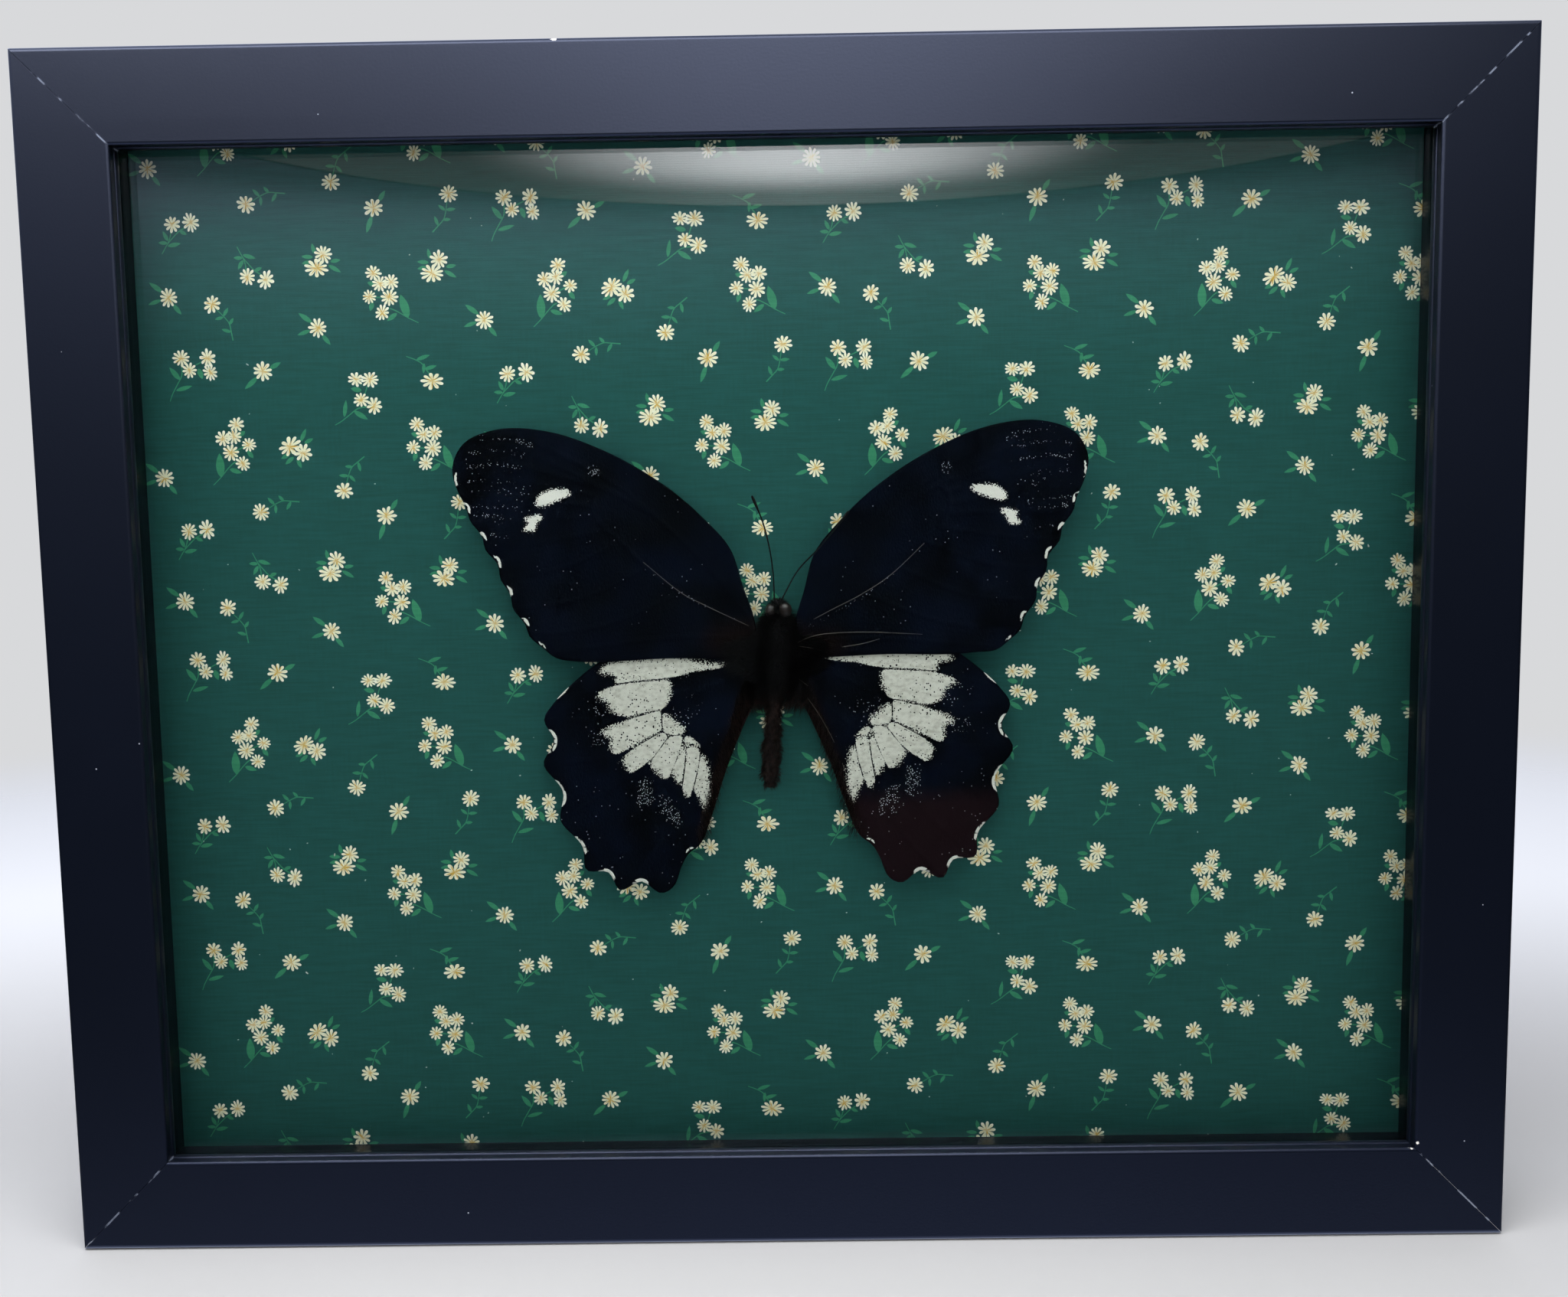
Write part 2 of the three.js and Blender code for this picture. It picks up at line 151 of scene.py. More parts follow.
def foilWrappedBoard():
    # MDF wrapped in satin black foil: almost black, with a broad soft blue-grey sheen and a faint pebble
    material, tree, shader = newMaterial(
        "foil_wrapped_mdf",
        {"Roughness": wrap["roughness"], "IOR": 1.5, "Specular Tint": paint(wrap["sheen"])},
    )
    place = placeInMm(tree)
    parts = addNode(tree, "SeparateXYZ", {0: place})
    across = addNode(tree, "Math", {0: parts.outputs[0]}, operation="ABSOLUTE")
    height = addNode(tree, "Math", {0: parts.outputs[2], 1: wrap["halfHeight"]}, operation="SUBTRACT")
    height = addNode(tree, "Math", {0: height}, operation="ABSOLUTE")
    mottle = addNode(tree, "TexNoise", {"Vector": place, "Scale": 1 / wrap["mottle"], "Detail": 3.0})
    foil = addNode(tree, "Mix", {0: mottle, 6: paint(wrap["black"]), 7: paint(wrap["blueBlack"])}, **colours)

    # the mitre: where the distances in from the two outer sides are equal, rubbed to a broken pale line
    widerBy = wrap["halfWidth"] - wrap["halfHeight"]
    slant = addNode(tree, "Math", {0: across, 1: height}, operation="SUBTRACT")
    slant = addNode(tree, "Math", {0: slant, 1: widerBy}, operation="SUBTRACT")
    slant = addNode(tree, "Math", {0: slant}, operation="ABSOLUTE")
    far, near = wrap["scratchEdge"]
    onMitre = addNode(tree, "MapRange", {"Value": slant, "From Min": far, "From Max": near}, **eased)
    broken = addNode(tree, "TexNoise", {"Vector": place, "Scale": 1 / wrap["scratchSize"], "Detail": 4.0})
    broken = addNode(tree, "MapRange", {"Value": broken, "From Min": 0.5, "From Max": 0.6}, **eased)
    rubbed = addNode(tree, "Math", {0: onMitre, 1: broken}, operation="MULTIPLY")
    colour = addNode(tree, "Mix", {0: rubbed, 6: foil, 7: paint(wrap["scratch"])}, **colours)

    # knocks where the foil has gone and the core shows white
    pebble = addNode(tree, "TexNoise", {"Vector": place, "Scale": 1 / wrap["pebble"], "Detail": 3.0})
    for x, z, radius in wrap["chips"]:
        chip = (x, wrap["frontFace"], z)
        away = addNode(tree, "VectorMath", {0: place, 1: chip}, operation="DISTANCE")
        away = addNode(tree, "Math", {0: pebble, 1: radius, 2: away}, operation="MULTIPLY_ADD")
        edge = {"From Min": radius * 1.25, "From Max": radius * 1.05}
        gone = addNode(tree, "MapRange", {"Value": away, **edge}, **eased)
        colour = addNode(tree, "Mix", {0: gone, 6: colour, 7: paint(wrap["chipWhite"])}, **colours)

    # a few specks of dust
    specks = addNode(tree, "TexVoronoi", {"Vector": place, "Scale": 1 / wrap["speckStep"]})
    dusty = addNode(tree, "MapRange", {"Value": specks, "From Min": 0.02, "From Max": 0.013}, **eased)
    colour = addNode(tree, "Mix", {0: dusty, 6: colour, 7: paint(wrap["speck"])}, **colours)

    # bare board inside the rebate and over the back
    sides = addNode(tree, "Math", {0: across, 1: widerBy}, operation="SUBTRACT")
    outermost = addNode(tree, "Math", {0: sides, 1: height}, operation="MAXIMUM")
    foilEdge = wrap["halfHeight"] - wrap["foilTurn"]
    edge = {"From Min": foilEdge, "From Max": foilEdge - 0.1}
    inside = addNode(tree, "MapRange", {"Value": outermost, **edge}, **eased)
    edge = {"From Min": wrap["backOfLip"], "From Max": wrap["backOfLip"] + 0.05}
    behind = addNode(tree, "MapRange", {"Value": parts.outputs[1], **edge}, **eased)
    bare = addNode(tree, "Math", {0: inside, 1: behind}, operation="MULTIPLY")
    fibre = addNode(tree, "TexNoise", {"Vector": place, "Scale": 1 / wrap["boardFibre"], "Detail": 4.0})
    board = addNode(tree, "Mix", {0: fibre, 6: paint(wrap["board"]), 7: paint(wrap["paleBoard"])}, **colours)
    colour = addNode(tree, "Mix", {0: bare, 6: colour, 7: board}, **colours)
    rough = {"To Min": wrap["roughness"], "To Max": wrap["boardRoughness"]}
    rough = addNode(tree, "MapRange", {"Value": bare, **rough})
    bump = addNode(tree, "Bump", {"Height": pebble, "Distance": wrap["pebbleDepth"] * mm})
    feed(tree, shader, {"Base Color": colour, "Roughness": rough, "Normal": bump})
    return material


def pictureGlass():
    # Float glass: clear, flat and glossy, with a faint green body colour
    return newMaterial(
        "float_glass",
        {"Base Color": paint("#f7fbf9"), "Transmission Weight": 1.0, "Roughness": 0.0, "IOR": 1.5},
    )[0]


liner = {
    "black": "#090b0f",
    "worn": "#141921",
    "fibre": (4.8, 0.8, 4.8),  # the paper's fibres lie along the strip
    "fibreDepth": 0.01,
}


def blackLiner():
    # Paper-faced board strip, printed black: satin enough to mirror the cloth next to it dimly
    material, tree, shader = newMaterial("black_faced_strip", {"Roughness": 0.2, "IOR": 1.48})
    spread = addNode(tree, "VectorMath", {0: placeInMm(tree), 1: liner["fibre"]}, operation="DIVIDE")
    fibre = addNode(tree, "TexNoise", {"Vector": spread, "Scale": 1.0})
    colour = addNode(tree, "Mix", {0: fibre, 6: paint(liner["black"]), 7: paint(liner["worn"])}, **colours)
    bump = addNode(tree, "Bump", {"Height": fibre, "Distance": liner["fibreDepth"] * mm})
    feed(tree, shader, {"Base Color": colour, "Normal": bump})
    return material


cotton = {
    "ground": ("#0a4b45", "#125752"),
    "leaf": ("#2a825c", "#3b9169"),
    "slub": (7.7, 0.55, 0.55),  # thicker stretches of the weft
    "warp": (0.5, 0.5, 5.0),
    "thread": 0.45,  # spacing of the threads
    "threadDepth": 0.015,
    "petal": "#fbf5d3",
    "ray": "#dcae44",
    "petalTip": "#fffbe6",
    "worn": "#ece5b8",
    "wear": (3.6, 0.45, 0.45),
    "wearDepth": 0.02,
}


def cottonGround(name, first, second):
    # Plain-woven printing cotton: matt, with slubs along the weft and a fine ridge at every thread
    material, tree, shader = newMaterial(
        name, {"Roughness": 0.85, "IOR": 1.45, "Sheen Weight": 0.08, "Sheen Roughness": 0.5}
    )
    place = placeInMm(tree)
    slub = addNode(tree, "VectorMath", {0: place, 1: cotton["slub"]}, operation="DIVIDE")
    slub = addNode(tree, "TexNoise", {"Vector": slub, "Scale": 1.0, "Detail": 3.0})
    warp = addNode(tree, "VectorMath", {0: place, 1: cotton["warp"]}, operation="DIVIDE")
    warp = addNode(tree, "TexNoise", {"Vector": warp, "Scale": 1.0})
    woven = addNode(tree, "Math", {0: warp, 1: 0.45, 2: slub}, operation="MULTIPLY_ADD")
    shade = addNode(tree, "MapRange", {"Value": woven, "From Min": 0.35, "From Max": 1.05}, **eased)
    colour = addNode(tree, "Mix", {0: shade, 6: paint(first), 7: paint(second)}, **colours)
    threads = addNode(
        tree,
        "TexWave",
        # one band of the wave is 2 pi / 20 long at scale 1
        {"Vector": place, "Scale": 2 * math.pi / (20 * cotton["thread"]), "Distortion": 1.2, "Detail": 1.0},
        bands_direction="Z",
    )
    relief = addNode(tree, "Math", {0: threads.outputs["Fac"], 1: 0.5, 2: woven}, operation="MULTIPLY_ADD")
    bump = addNode(tree, "Bump", {"Height": relief, "Distance": cotton["threadDepth"] * mm})
    feed(tree, shader, {"Base Color": colour, "Normal": bump})
    return material


def printedPetals():
    # Cream pigment on the cotton, with ochre rays out of the middle of each flower
    material, tree, shader = newMaterial("printed_cream", {"Roughness": 0.85, "IOR": 1.45})
    spot = addNode(tree, "Attribute", attribute_name="inFlower").outputs["Vector"]
    parts = addNode(tree, "SeparateXYZ", {0: spot})
    flat = addNode(tree, "CombineXYZ", {0: parts.outputs[0], 1: parts.outputs[1]})
    away = addNode(tree, "VectorMath", {0: flat}, operation="LENGTH")
    aim = addNode(tree, "VectorMath", {0: flat}, operation="NORMALIZE")
    aim = addNode(tree, "SeparateXYZ", {0: aim})
    aim = addNode(tree, "CombineXYZ", {0: aim.outputs[0], 1: aim.outputs[1], 2: parts.outputs[2]})
    rays = addNode(tree, "TexNoise", {"Vector": aim, "Scale": 4.5, "Detail": 1.0})
    reach = addNode(tree, "Math", {0: rays, 1: 2.2, 2: -0.75}, operation="MULTIPLY_ADD")
    inward = addNode(tree, "Math", {0: reach, 1: away}, operation="SUBTRACT")
    onRay = addNode(tree, "MapRange", {"Value": inward, "From Min": -0.05, "From Max": 0.3}, **eased)
    petal = addNode(tree, "Mix", {0: onRay, 6: paint(cotton["petal"]), 7: paint(cotton["ray"])}, **colours)
    tip = addNode(tree, "MapRange", {"Value": away, "From Min": 0.75, "From Max": 1.0}, **eased)
    petal = addNode(tree, "Mix", {0: tip, 6: petal, 7: paint(cotton["petalTip"])}, **colours)
    wear = addNode(tree, "VectorMath", {0: placeInMm(tree), 1: cotton["wear"]}, operation="DIVIDE")
    wear = addNode(tree, "TexNoise", {"Vector": wear, "Scale": 1.0})
    worn = addNode(tree, "MapRange", {"Value": wear, "From Min": 0.66, "From Max": 0.8}, **eased)
    petal = addNode(tree, "Mix", {0: worn, 6: petal, 7: paint(cotton["worn"])}, **colours)
    bump = addNode(tree, "Bump", {"Height": wear, "Distance": cotton["wearDepth"] * mm})
    feed(tree, shader, {"Base Color": petal, "Normal": bump})
    return material


# A finish of two shades that a soft cloud blends, for what needs no more
def twoShades(name, look, size, detail, first, second):
    material, tree, shader = newMaterial(name, look)
    cloud = addNode(tree, "TexNoise", {"Vector": placeInMm(tree), "Scale": 1 / size, "Detail": detail})
    colour = addNode(tree, "Mix", {0: cloud, 6: paint(first), 7: paint(second)}, **colours)
    feed(tree, shader, {"Base Color": colour})
    return material


hardboard = {
    "dark": "#70482b",
    "light": "#7f5535",
    "mottle": 9.0,
    "fibre": "#543319",
    "fibreSize": 1.1,
    "grain": 0.5,
    "grainDepth": 0.03,
}


def brownHardboard():
    # Pressed wood fibre: the smooth brown side, mottled with darker fibres and a slight polish
    material, tree, shader = newMaterial("hardboard", {"Roughness": 0.5, "IOR": 1.5})
    place = placeInMm(tree)
    mottle = addNode(tree, "TexNoise", {"Vector": place, "Scale": 1 / hardboard["mottle"], "Detail": 5.0})
    mottle = addNode(tree, "MapRange", {"Value": mottle, "From Min": 0.3, "From Max": 0.7}, **eased)
    brown = {6: paint(hardboard["dark"]), 7: paint(hardboard["light"])}
    brown = addNode(tree, "Mix", {0: mottle, **brown}, **colours)
    fibres = addNode(tree, "TexVoronoi", {"Vector": place, "Scale": 1 / hardboard["fibreSize"]})
    darker = addNode(tree, "MapRange", {"Value": fibres, "From Min": 0.22, "From Max": 0.1}, **eased)
    brown = addNode(tree, "Mix", {0: darker, 6: brown, 7: paint(hardboard["fibre"])}, **colours)
    grain = addNode(tree, "TexNoise", {"Vector": place, "Scale": 1 / hardboard["grain"], "Detail": 4.0})
    bump = addNode(tree, "Bump", {"Height": grain, "Distance": hardboard["grainDepth"] * mm})
    feed(tree, shader, {"Base Color": brown, "Normal": bump})
    return material


steel = {
    "dull": "#a9adb3",
    "bright": "#cfd1d3",
    "roughness": (0.26, 0.5),
    "patch": 3.0,
    "rolled": (3.6, 0.12, 0.12),  # the rolling lines run along the strip
    "rolledDepth": 0.01,
}


def zincSteel():
    # Zinc-plated strip steel: cool grey metal with fine rolling lines and dull patches
    material, tree, shader = newMaterial("zinc_plated_steel", {"Metallic": 1.0})
    place = placeInMm(tree)
    lines = addNode(tree, "VectorMath", {0: place, 1: steel["rolled"]}, operation="DIVIDE")
    lines = addNode(tree, "TexNoise", {"Vector": lines, "Scale": 1.0})
    patch = addNode(tree, "TexNoise", {"Vector": place, "Scale": 1 / steel["patch"], "Detail": 3.0})
    smooth, rough = steel["roughness"]
    rough = addNode(tree, "MapRange", {"Value": patch, "To Min": smooth, "To Max": rough})
    grey = addNode(tree, "Mix", {0: patch, 6: paint(steel["dull"]), 7: paint(steel["bright"])}, **colours)
    bump = addNode(tree, "Bump", {"Height": lines, "Distance": steel["rolledDepth"] * mm})
    feed(tree, shader, {"Base Color": grey, "Roughness": rough, "Normal": bump})
    return material


scales = {
    "velvet": "#010409",
    "blueVelvet": "#040b1a",
    "blotch": 9.0,
    "brown": "#140b07",
    "red": "#1a0e12",
    "pale": "#dad9cd",
    "paleShade": "#b9b7aa",
    "streak": (1.12, 0.7, 0.77),
    "white": "#e9e7dd",
    "dust": "#b9bcc0",
    "fray": 0.28,  # size of the notches along the edge of a patch
    "strayStep": 0.4,  # spacing of the dark scales that may stray into a patch, drawn coarser than real
    "dustStep": 0.32,  # spacing of the single pale scales, drawn coarser than real ones to show
    "row": (0.3, 0.3, 0.6),  # the scales' rows, which dent the light
    "rowDepth": 0.05,
}


def wingScales():
    # Wing scales: velvety blue-black that swallows light, chalky cream patches and single pale scales
    material, tree, shader = newMaterial(
        "wing_scales",
        {
            "Roughness": 0.75,
            "IOR": 1.4,
            "Specular IOR Level": 0.08,
            "Sheen Weight": 0.02,
            "Sheen Roughness": 0.4,
            "Sheen Tint": paint("#8fa0d0"),
        },
    )
    place = placeInMm(tree)
    field = {
        name: addNode(tree, "Attribute", attribute_name=name).outputs["Fac"]
        for name in ("patchIn", "spotIn", "lunuleIn", "veinOff", "dustAmount", "hairZone", "redZone")
    }
    blotch = addNode(tree, "TexNoise", {"Vector": place, "Scale": 1 / scales["blotch"]})
    blotch = addNode(tree, "MapRange", {"Value": blotch, "From Min": 0.3, "From Max": 0.75}, **eased)
    dark = {6: paint(scales["velvet"]), 7: paint(scales["blueVelvet"])}
    colour = addNode(tree, "Mix", {0: blotch, **dark}, **colours)
    colour = addNode(tree, "Mix", {0: field["redZone"], 6: colour, 7: paint(scales["red"])}, **colours)
    colour = addNode(tree, "Mix", {0: field["hairZone"], 6: colour, 7: paint(scales["brown"])}, **colours)

    # cream patches: the edge breaks up where scales are missing, more so away from the veins
    frayed = addNode(tree, "TexNoise", {"Vector": place, "Scale": 1 / scales["fray"], "Detail": 3.0})
    ragged = {"From Min": 0.25, "From Max": 1.3, "To Min": 0.5, "To Max": 4.6}
    ragged = addNode(tree, "MapRange", {"Value": field["veinOff"], **ragged})
    astray = addNode(tree, "Math", {0: frayed, 1: 0.5}, operation="SUBTRACT")
    edge = addNode(tree, "Math", {0: astray, 1: ragged, 2: field["patchIn"]}, operation="MULTIPLY_ADD")
    patch = addNode(tree, "MapRange", {"Value": edge, "From Min": -0.02, "From Max": 0.1}, **eased)

    # dark scales strewn in them, each with a lot of its own for whether it is there and how big it is
    strays = addNode(tree, "TexVoronoi", {"Vector": place, "Scale": 1 / scales["strayStep"]})
    lots = addNode(tree, "SeparateXYZ", {0: strays.outputs["Color"]})
    reach = addNode(tree, "Math", {0: lots.outputs[1], 1: 0.4, 2: 0.13}, operation="MULTIPLY_ADD")
    within = addNode(tree, "Math", {0: reach, 1: strays}, operation="SUBTRACT")
    stray = addNode(tree, "MapRange", {"Value": within, "From Min": -0.04, "From Max": 0.05}, **eased)
    often = addNode(tree, "TexNoise", {"Vector": place, "Scale": 1 / 2.6})
    often = addNode(tree, "Math", {0: often, 1: 2.0, 2: -0.8}, operation="MULTIPLY_ADD")
    chosen = addNode(tree, "Math", {0: lots.outputs[0], 1: often}, operation="LESS_THAN")
    stray = addNode(tree, "Math", {0: stray, 1: chosen}, operation="MULTIPLY")
    kept = addNode(tree, "Math", {0: 1.0, 1: stray}, operation="SUBTRACT")
    patch = addNode(tree, "Math", {0: patch, 1: kept}, operation="MULTIPLY")
    beside = {"Value": field["veinOff"], "From Min": 0.06, "From Max": 0.14}
    beside = addNode(tree, "MapRange", beside, **eased)
    patch = addNode(tree, "Math", {0: patch, 1: beside}, operation="MULTIPLY")
    streak = addNode(tree, "VectorMath", {0: place, 1: scales["streak"]}, operation="DIVIDE")
    streak = addNode(tree, "TexNoise", {"Vector": streak, "Scale": 1.0, "Detail": 5.0})
    streak = addNode(tree, "MapRange", {"Value": streak, "From Min": 0.22, "From Max": 0.62}, **eased)
    cream = {6: paint(scales["paleShade"]), 7: paint(scales["pale"])}
    cream = addNode(tree, "Mix", {0: streak, **cream}, **colours)
    colour = addNode(tree, "Mix", {0: patch, 6: colour, 7: cream}, **colours)

    # clean white: the forewing spots and the crescents along the margins
    spot = addNode(tree, "Math", {0: frayed, 1: 2.6, 2: field["spotIn"]}, operation="MULTIPLY_ADD")
    spot = addNode(tree, "MapRange", {"Value": spot, "From Min": 1.2, "From Max": 1.38}, **eased)
    colour = addNode(tree, "Mix", {0: spot, 6: colour, 7: paint(scales["white"])}, **colours)
    crescent = {"Value": field["lunuleIn"], "From Min": -0.03, "From Max": 0.05}
    crescent = addNode(tree, "MapRange", crescent, **eased)
    colour = addNode(tree, "Mix", {0: crescent, 6: colour, 7: paint(scales["white"])}, **colours)

    # single pale scales in rows and drifts
    grains = addNode(tree, "TexVoronoi", {"Vector": place, "Scale": 1 / scales["dustStep"]})
    grain = addNode(tree, "MapRange", {"Value": grains, "From Min": 0.34, "From Max": 0.24}, **eased)
    lots = addNode(tree, "SeparateXYZ", {0: grains.outputs["Color"]})
    chosen = addNode(tree, "Math", {0: lots.outputs[1], 1: field["dustAmount"]}, operation="LESS_THAN")
    grain = addNode(tree, "Math", {0: grain, 1: chosen}, operation="MULTIPLY")
    colour = addNode(tree, "Mix", {0: grain, 6: colour, 7: paint(scales["dust"])}, **colours)
    rows = addNode(tree, "VectorMath", {0: place, 1: scales["row"]}, operation="DIVIDE")
    rows = addNode(tree, "TexNoise", {"Vector": rows, "Scale": 1.0, "Detail": 3.0})
    bump = addNode(tree, "Bump", {"Height": rows, "Distance": scales["rowDepth"] * mm})
    feed(tree, shader, {"Base Color": colour, "Normal": bump})
    return material


hair = {
    "fore": ("#010102", "#070606"),
    "rear": ("#0a0605", "#2c1c17"),  # the abdomen's are browner
    "change": (111.0, 106.0),  # the height over which the one turns into the other
    "tuft": 0.8,
    "strand": 0.15,
    "strandDepth": 0.05,
}


def bodyHair():
    # Body hair: fine dull filaments that darken towards the skin
    material, tree, shader = newMaterial(
        "body_fur", {"Roughness": 0.6, "IOR": 1.55, "Specular IOR Level": 0.15}
    )
    place = placeInMm(tree)
    tone = addNode(tree, "TexNoise", {"Vector": place, "Scale": 1 / hair["tuft"]})
    tone = addNode(tree, "MapRange", {"Value": tone, "From Min": 0.3, "From Max": 0.75}, **eased)
    fore, rear = (
        addNode(tree, "Mix", {0: tone, 6: paint(dark), 7: paint(light)}, **colours)
        for dark, light in (hair["fore"], hair["rear"])
    )
    height = addNode(tree, "SeparateXYZ", {0: place}).outputs[2]
    top, bottom = hair["change"]
    low = addNode(tree, "MapRange", {"Value": height, "From Min": top, "From Max": bottom}, **eased)
    colour = addNode(tree, "Mix", {0: low, 6: fore, 7: rear}, **colours)
    strand = addNode(tree, "TexNoise", {"Vector": place, "Scale": 1 / hair["strand"]})
    bump = addNode(tree, "Bump", {"Height": strand, "Distance": hair["strandDepth"] * mm})
    feed(tree, shader, {"Base Color": colour, "Normal": bump})
    return material


eyeFacets = {
    "dark": "#140f0c",
    "light": "#2f2722",
    "size": 0.12,  # coarser than real facets, which are too fine to show
    "depth": 0.01,
}


def chitinEye():
    # Compound eye: dark brown cuticle whose facets break up the shine
    material, tree, shader = newMaterial(
        "eye_cuticle", {"Roughness": 0.36, "IOR": 1.56, "Specular IOR Level": 0.35}
    )
    facets = addNode(tree, "TexVoronoi", {"Vector": placeInMm(tree), "Scale": 1 / eyeFacets["size"]})
    brown = {6: paint(eyeFacets["dark"]), 7: paint(eyeFacets["light"])}
    brown = addNode(tree, "Mix", {0: facets, **brown}, **colours)
    bump = addNode(tree, "Bump", {"Height": facets, "Distance": eyeFacets["depth"] * mm})
    feed(tree, shader, {"Base Color": brown, "Normal": bump})
    return material


finish = {
    "wrap": foilWrappedBoard(),
    "glass": pictureGlass(),
    "liner": blackLiner(),
    "ground": cottonGround("printed_green", *cotton["ground"]),
    "leaf": cottonGround("printed_leaf_green", *cotton["leaf"]),
    "petal": printedPetals(),
    # Foam board: matt white paper faces
    "foam": twoShades("paper_faced_foam", {"Roughness": 0.8, "IOR": 1.45}, 0.6, 3.0, "#e9e6dd", "#f4f2ec"),
    "hardboard": brownHardboard(),
    "steel": zincSteel(),
    "wing": wingScales(),
    "fur": bodyHair(),
    "eye": chitinEye(),
    # Antenna: matt black cuticle, a little browner in places
    "antenna": twoShades(
        "antenna_cuticle",
        {"Roughness": 0.55, "IOR": 1.56, "Specular IOR Level": 0.2},
        0.4, 2.0, "#020303", "#0b0a08",
    ),
    # Bare wing vein: a yellowish brown tube with a dull shine
    "vein": twoShades("bare_vein", {"Roughness": 0.45, "IOR": 1.56}, 1.5, 2.0, "#413a31", "#6c665c"),
    # Hot-melt glue: waxy and milky
    "glue": twoShades(
        "hot_melt_glue",
        {"Roughness": 0.3, "IOR": 1.48, "Subsurface Weight": 0.3, "Subsurface Scale": 0.001},
        1.2, 2.0, "#cbbf98", "#ded4b2",
    ),
    # Lint and dust: pale and matt
    "dust": twoShades("dust_lint", {"Roughness": 0.9, "IOR": 1.45}, 4.0, 1.0, "#9aa39b", "#dcdcd2"),
}

finishOfNode = {
    "rail_": "wrap", "glass_": "glass", "liner_": "liner", "mount_": "foam", "backing_board": "hardboard",
    "turn_": "steel", "hanger": "steel",
}


def dressCadNodes():
    for name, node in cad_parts.items():
        for start, look in finishOfNode.items():
            if name.startswith(start):
                node.data.materials.clear()
                node.data.materials.append(finish[look])


dressCadNodes()
print("finishes made")


def newPiece(name, points, faces, materials, replaced=()):
    mesh = bpy.data.meshes.new(name)
    mesh.from_pydata([tuple(float(c) * mm for c in p) for p in points], [], faces)
    for material in materials:
        mesh.materials.append(material)
    piece = bpy.data.objects.new(name, mesh)
    bpy.context.scene.collection.objects.link(piece)
    return settle(piece, replaced)


def settle(piece, replaced=()):
    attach(piece, "frame")
    if replaced:
        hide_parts(*replaced)
    return piece


# A smooth line through the points, with so many steps between each two
def smoothLine(points, steps, closed=False):
    given = [np.array(p, float) for p in points]
    count = len(given)
    line = []
    spans = count if closed else count - 1
    for i in range(spans):
        b, c = given[i], given[(i + 1) % count]
        a = given[i - 1] if closed or i > 0 else 2 * b - c
        d = given[(i + 2) % count] if closed or i + 2 < count else 2 * c - b
        for k in range(steps):
            t = k / steps
            curve = 3 * b - a - 3 * c + d
            line.append(0.5 * (2 * b + (c - a) * t + (2 * a - 5 * b + 4 * c - d) * t**2 + curve * t**3))
    if not closed:
        line.append(given[-1])
    return line


def distanceTo(points, path, closed=False):
    corners = np.array(path, float)
    ends = np.roll(corners, -1, 0) if closed else corners[1:]
    starts = corners if closed else corners[:-1]
    best = np.full(len(points), 1e9)
    for a, b in zip(starts, ends):
        along = b - a
        t = np.clip(((points - a) @ along) / max(along @ along, 1e-12), 0, 1)
        best = np.minimum(best, np.linalg.norm(points - a - t[:, None] * along, axis=1))
    return best


def insideOf(points, outline):
    corners = np.array(outline, float)
    inside = np.zeros(len(points), bool)
    for (ax, az), (bx, bz) in zip(corners, np.roll(corners, -1, 0)):
        if az == bz:
            continue
        crosses = (az > points[:, 1]) != (bz > points[:, 1])
        inside ^= crosses & (points[:, 0] < (bx - ax) * (points[:, 1] - az) / (bz - az) + ax)
    return inside


# Positive inside the outline, negative outside
def depthInside(points, outline):
    away = distanceTo(points, outline, closed=True)
    return np.where(insideOf(points, outline), away, -away)


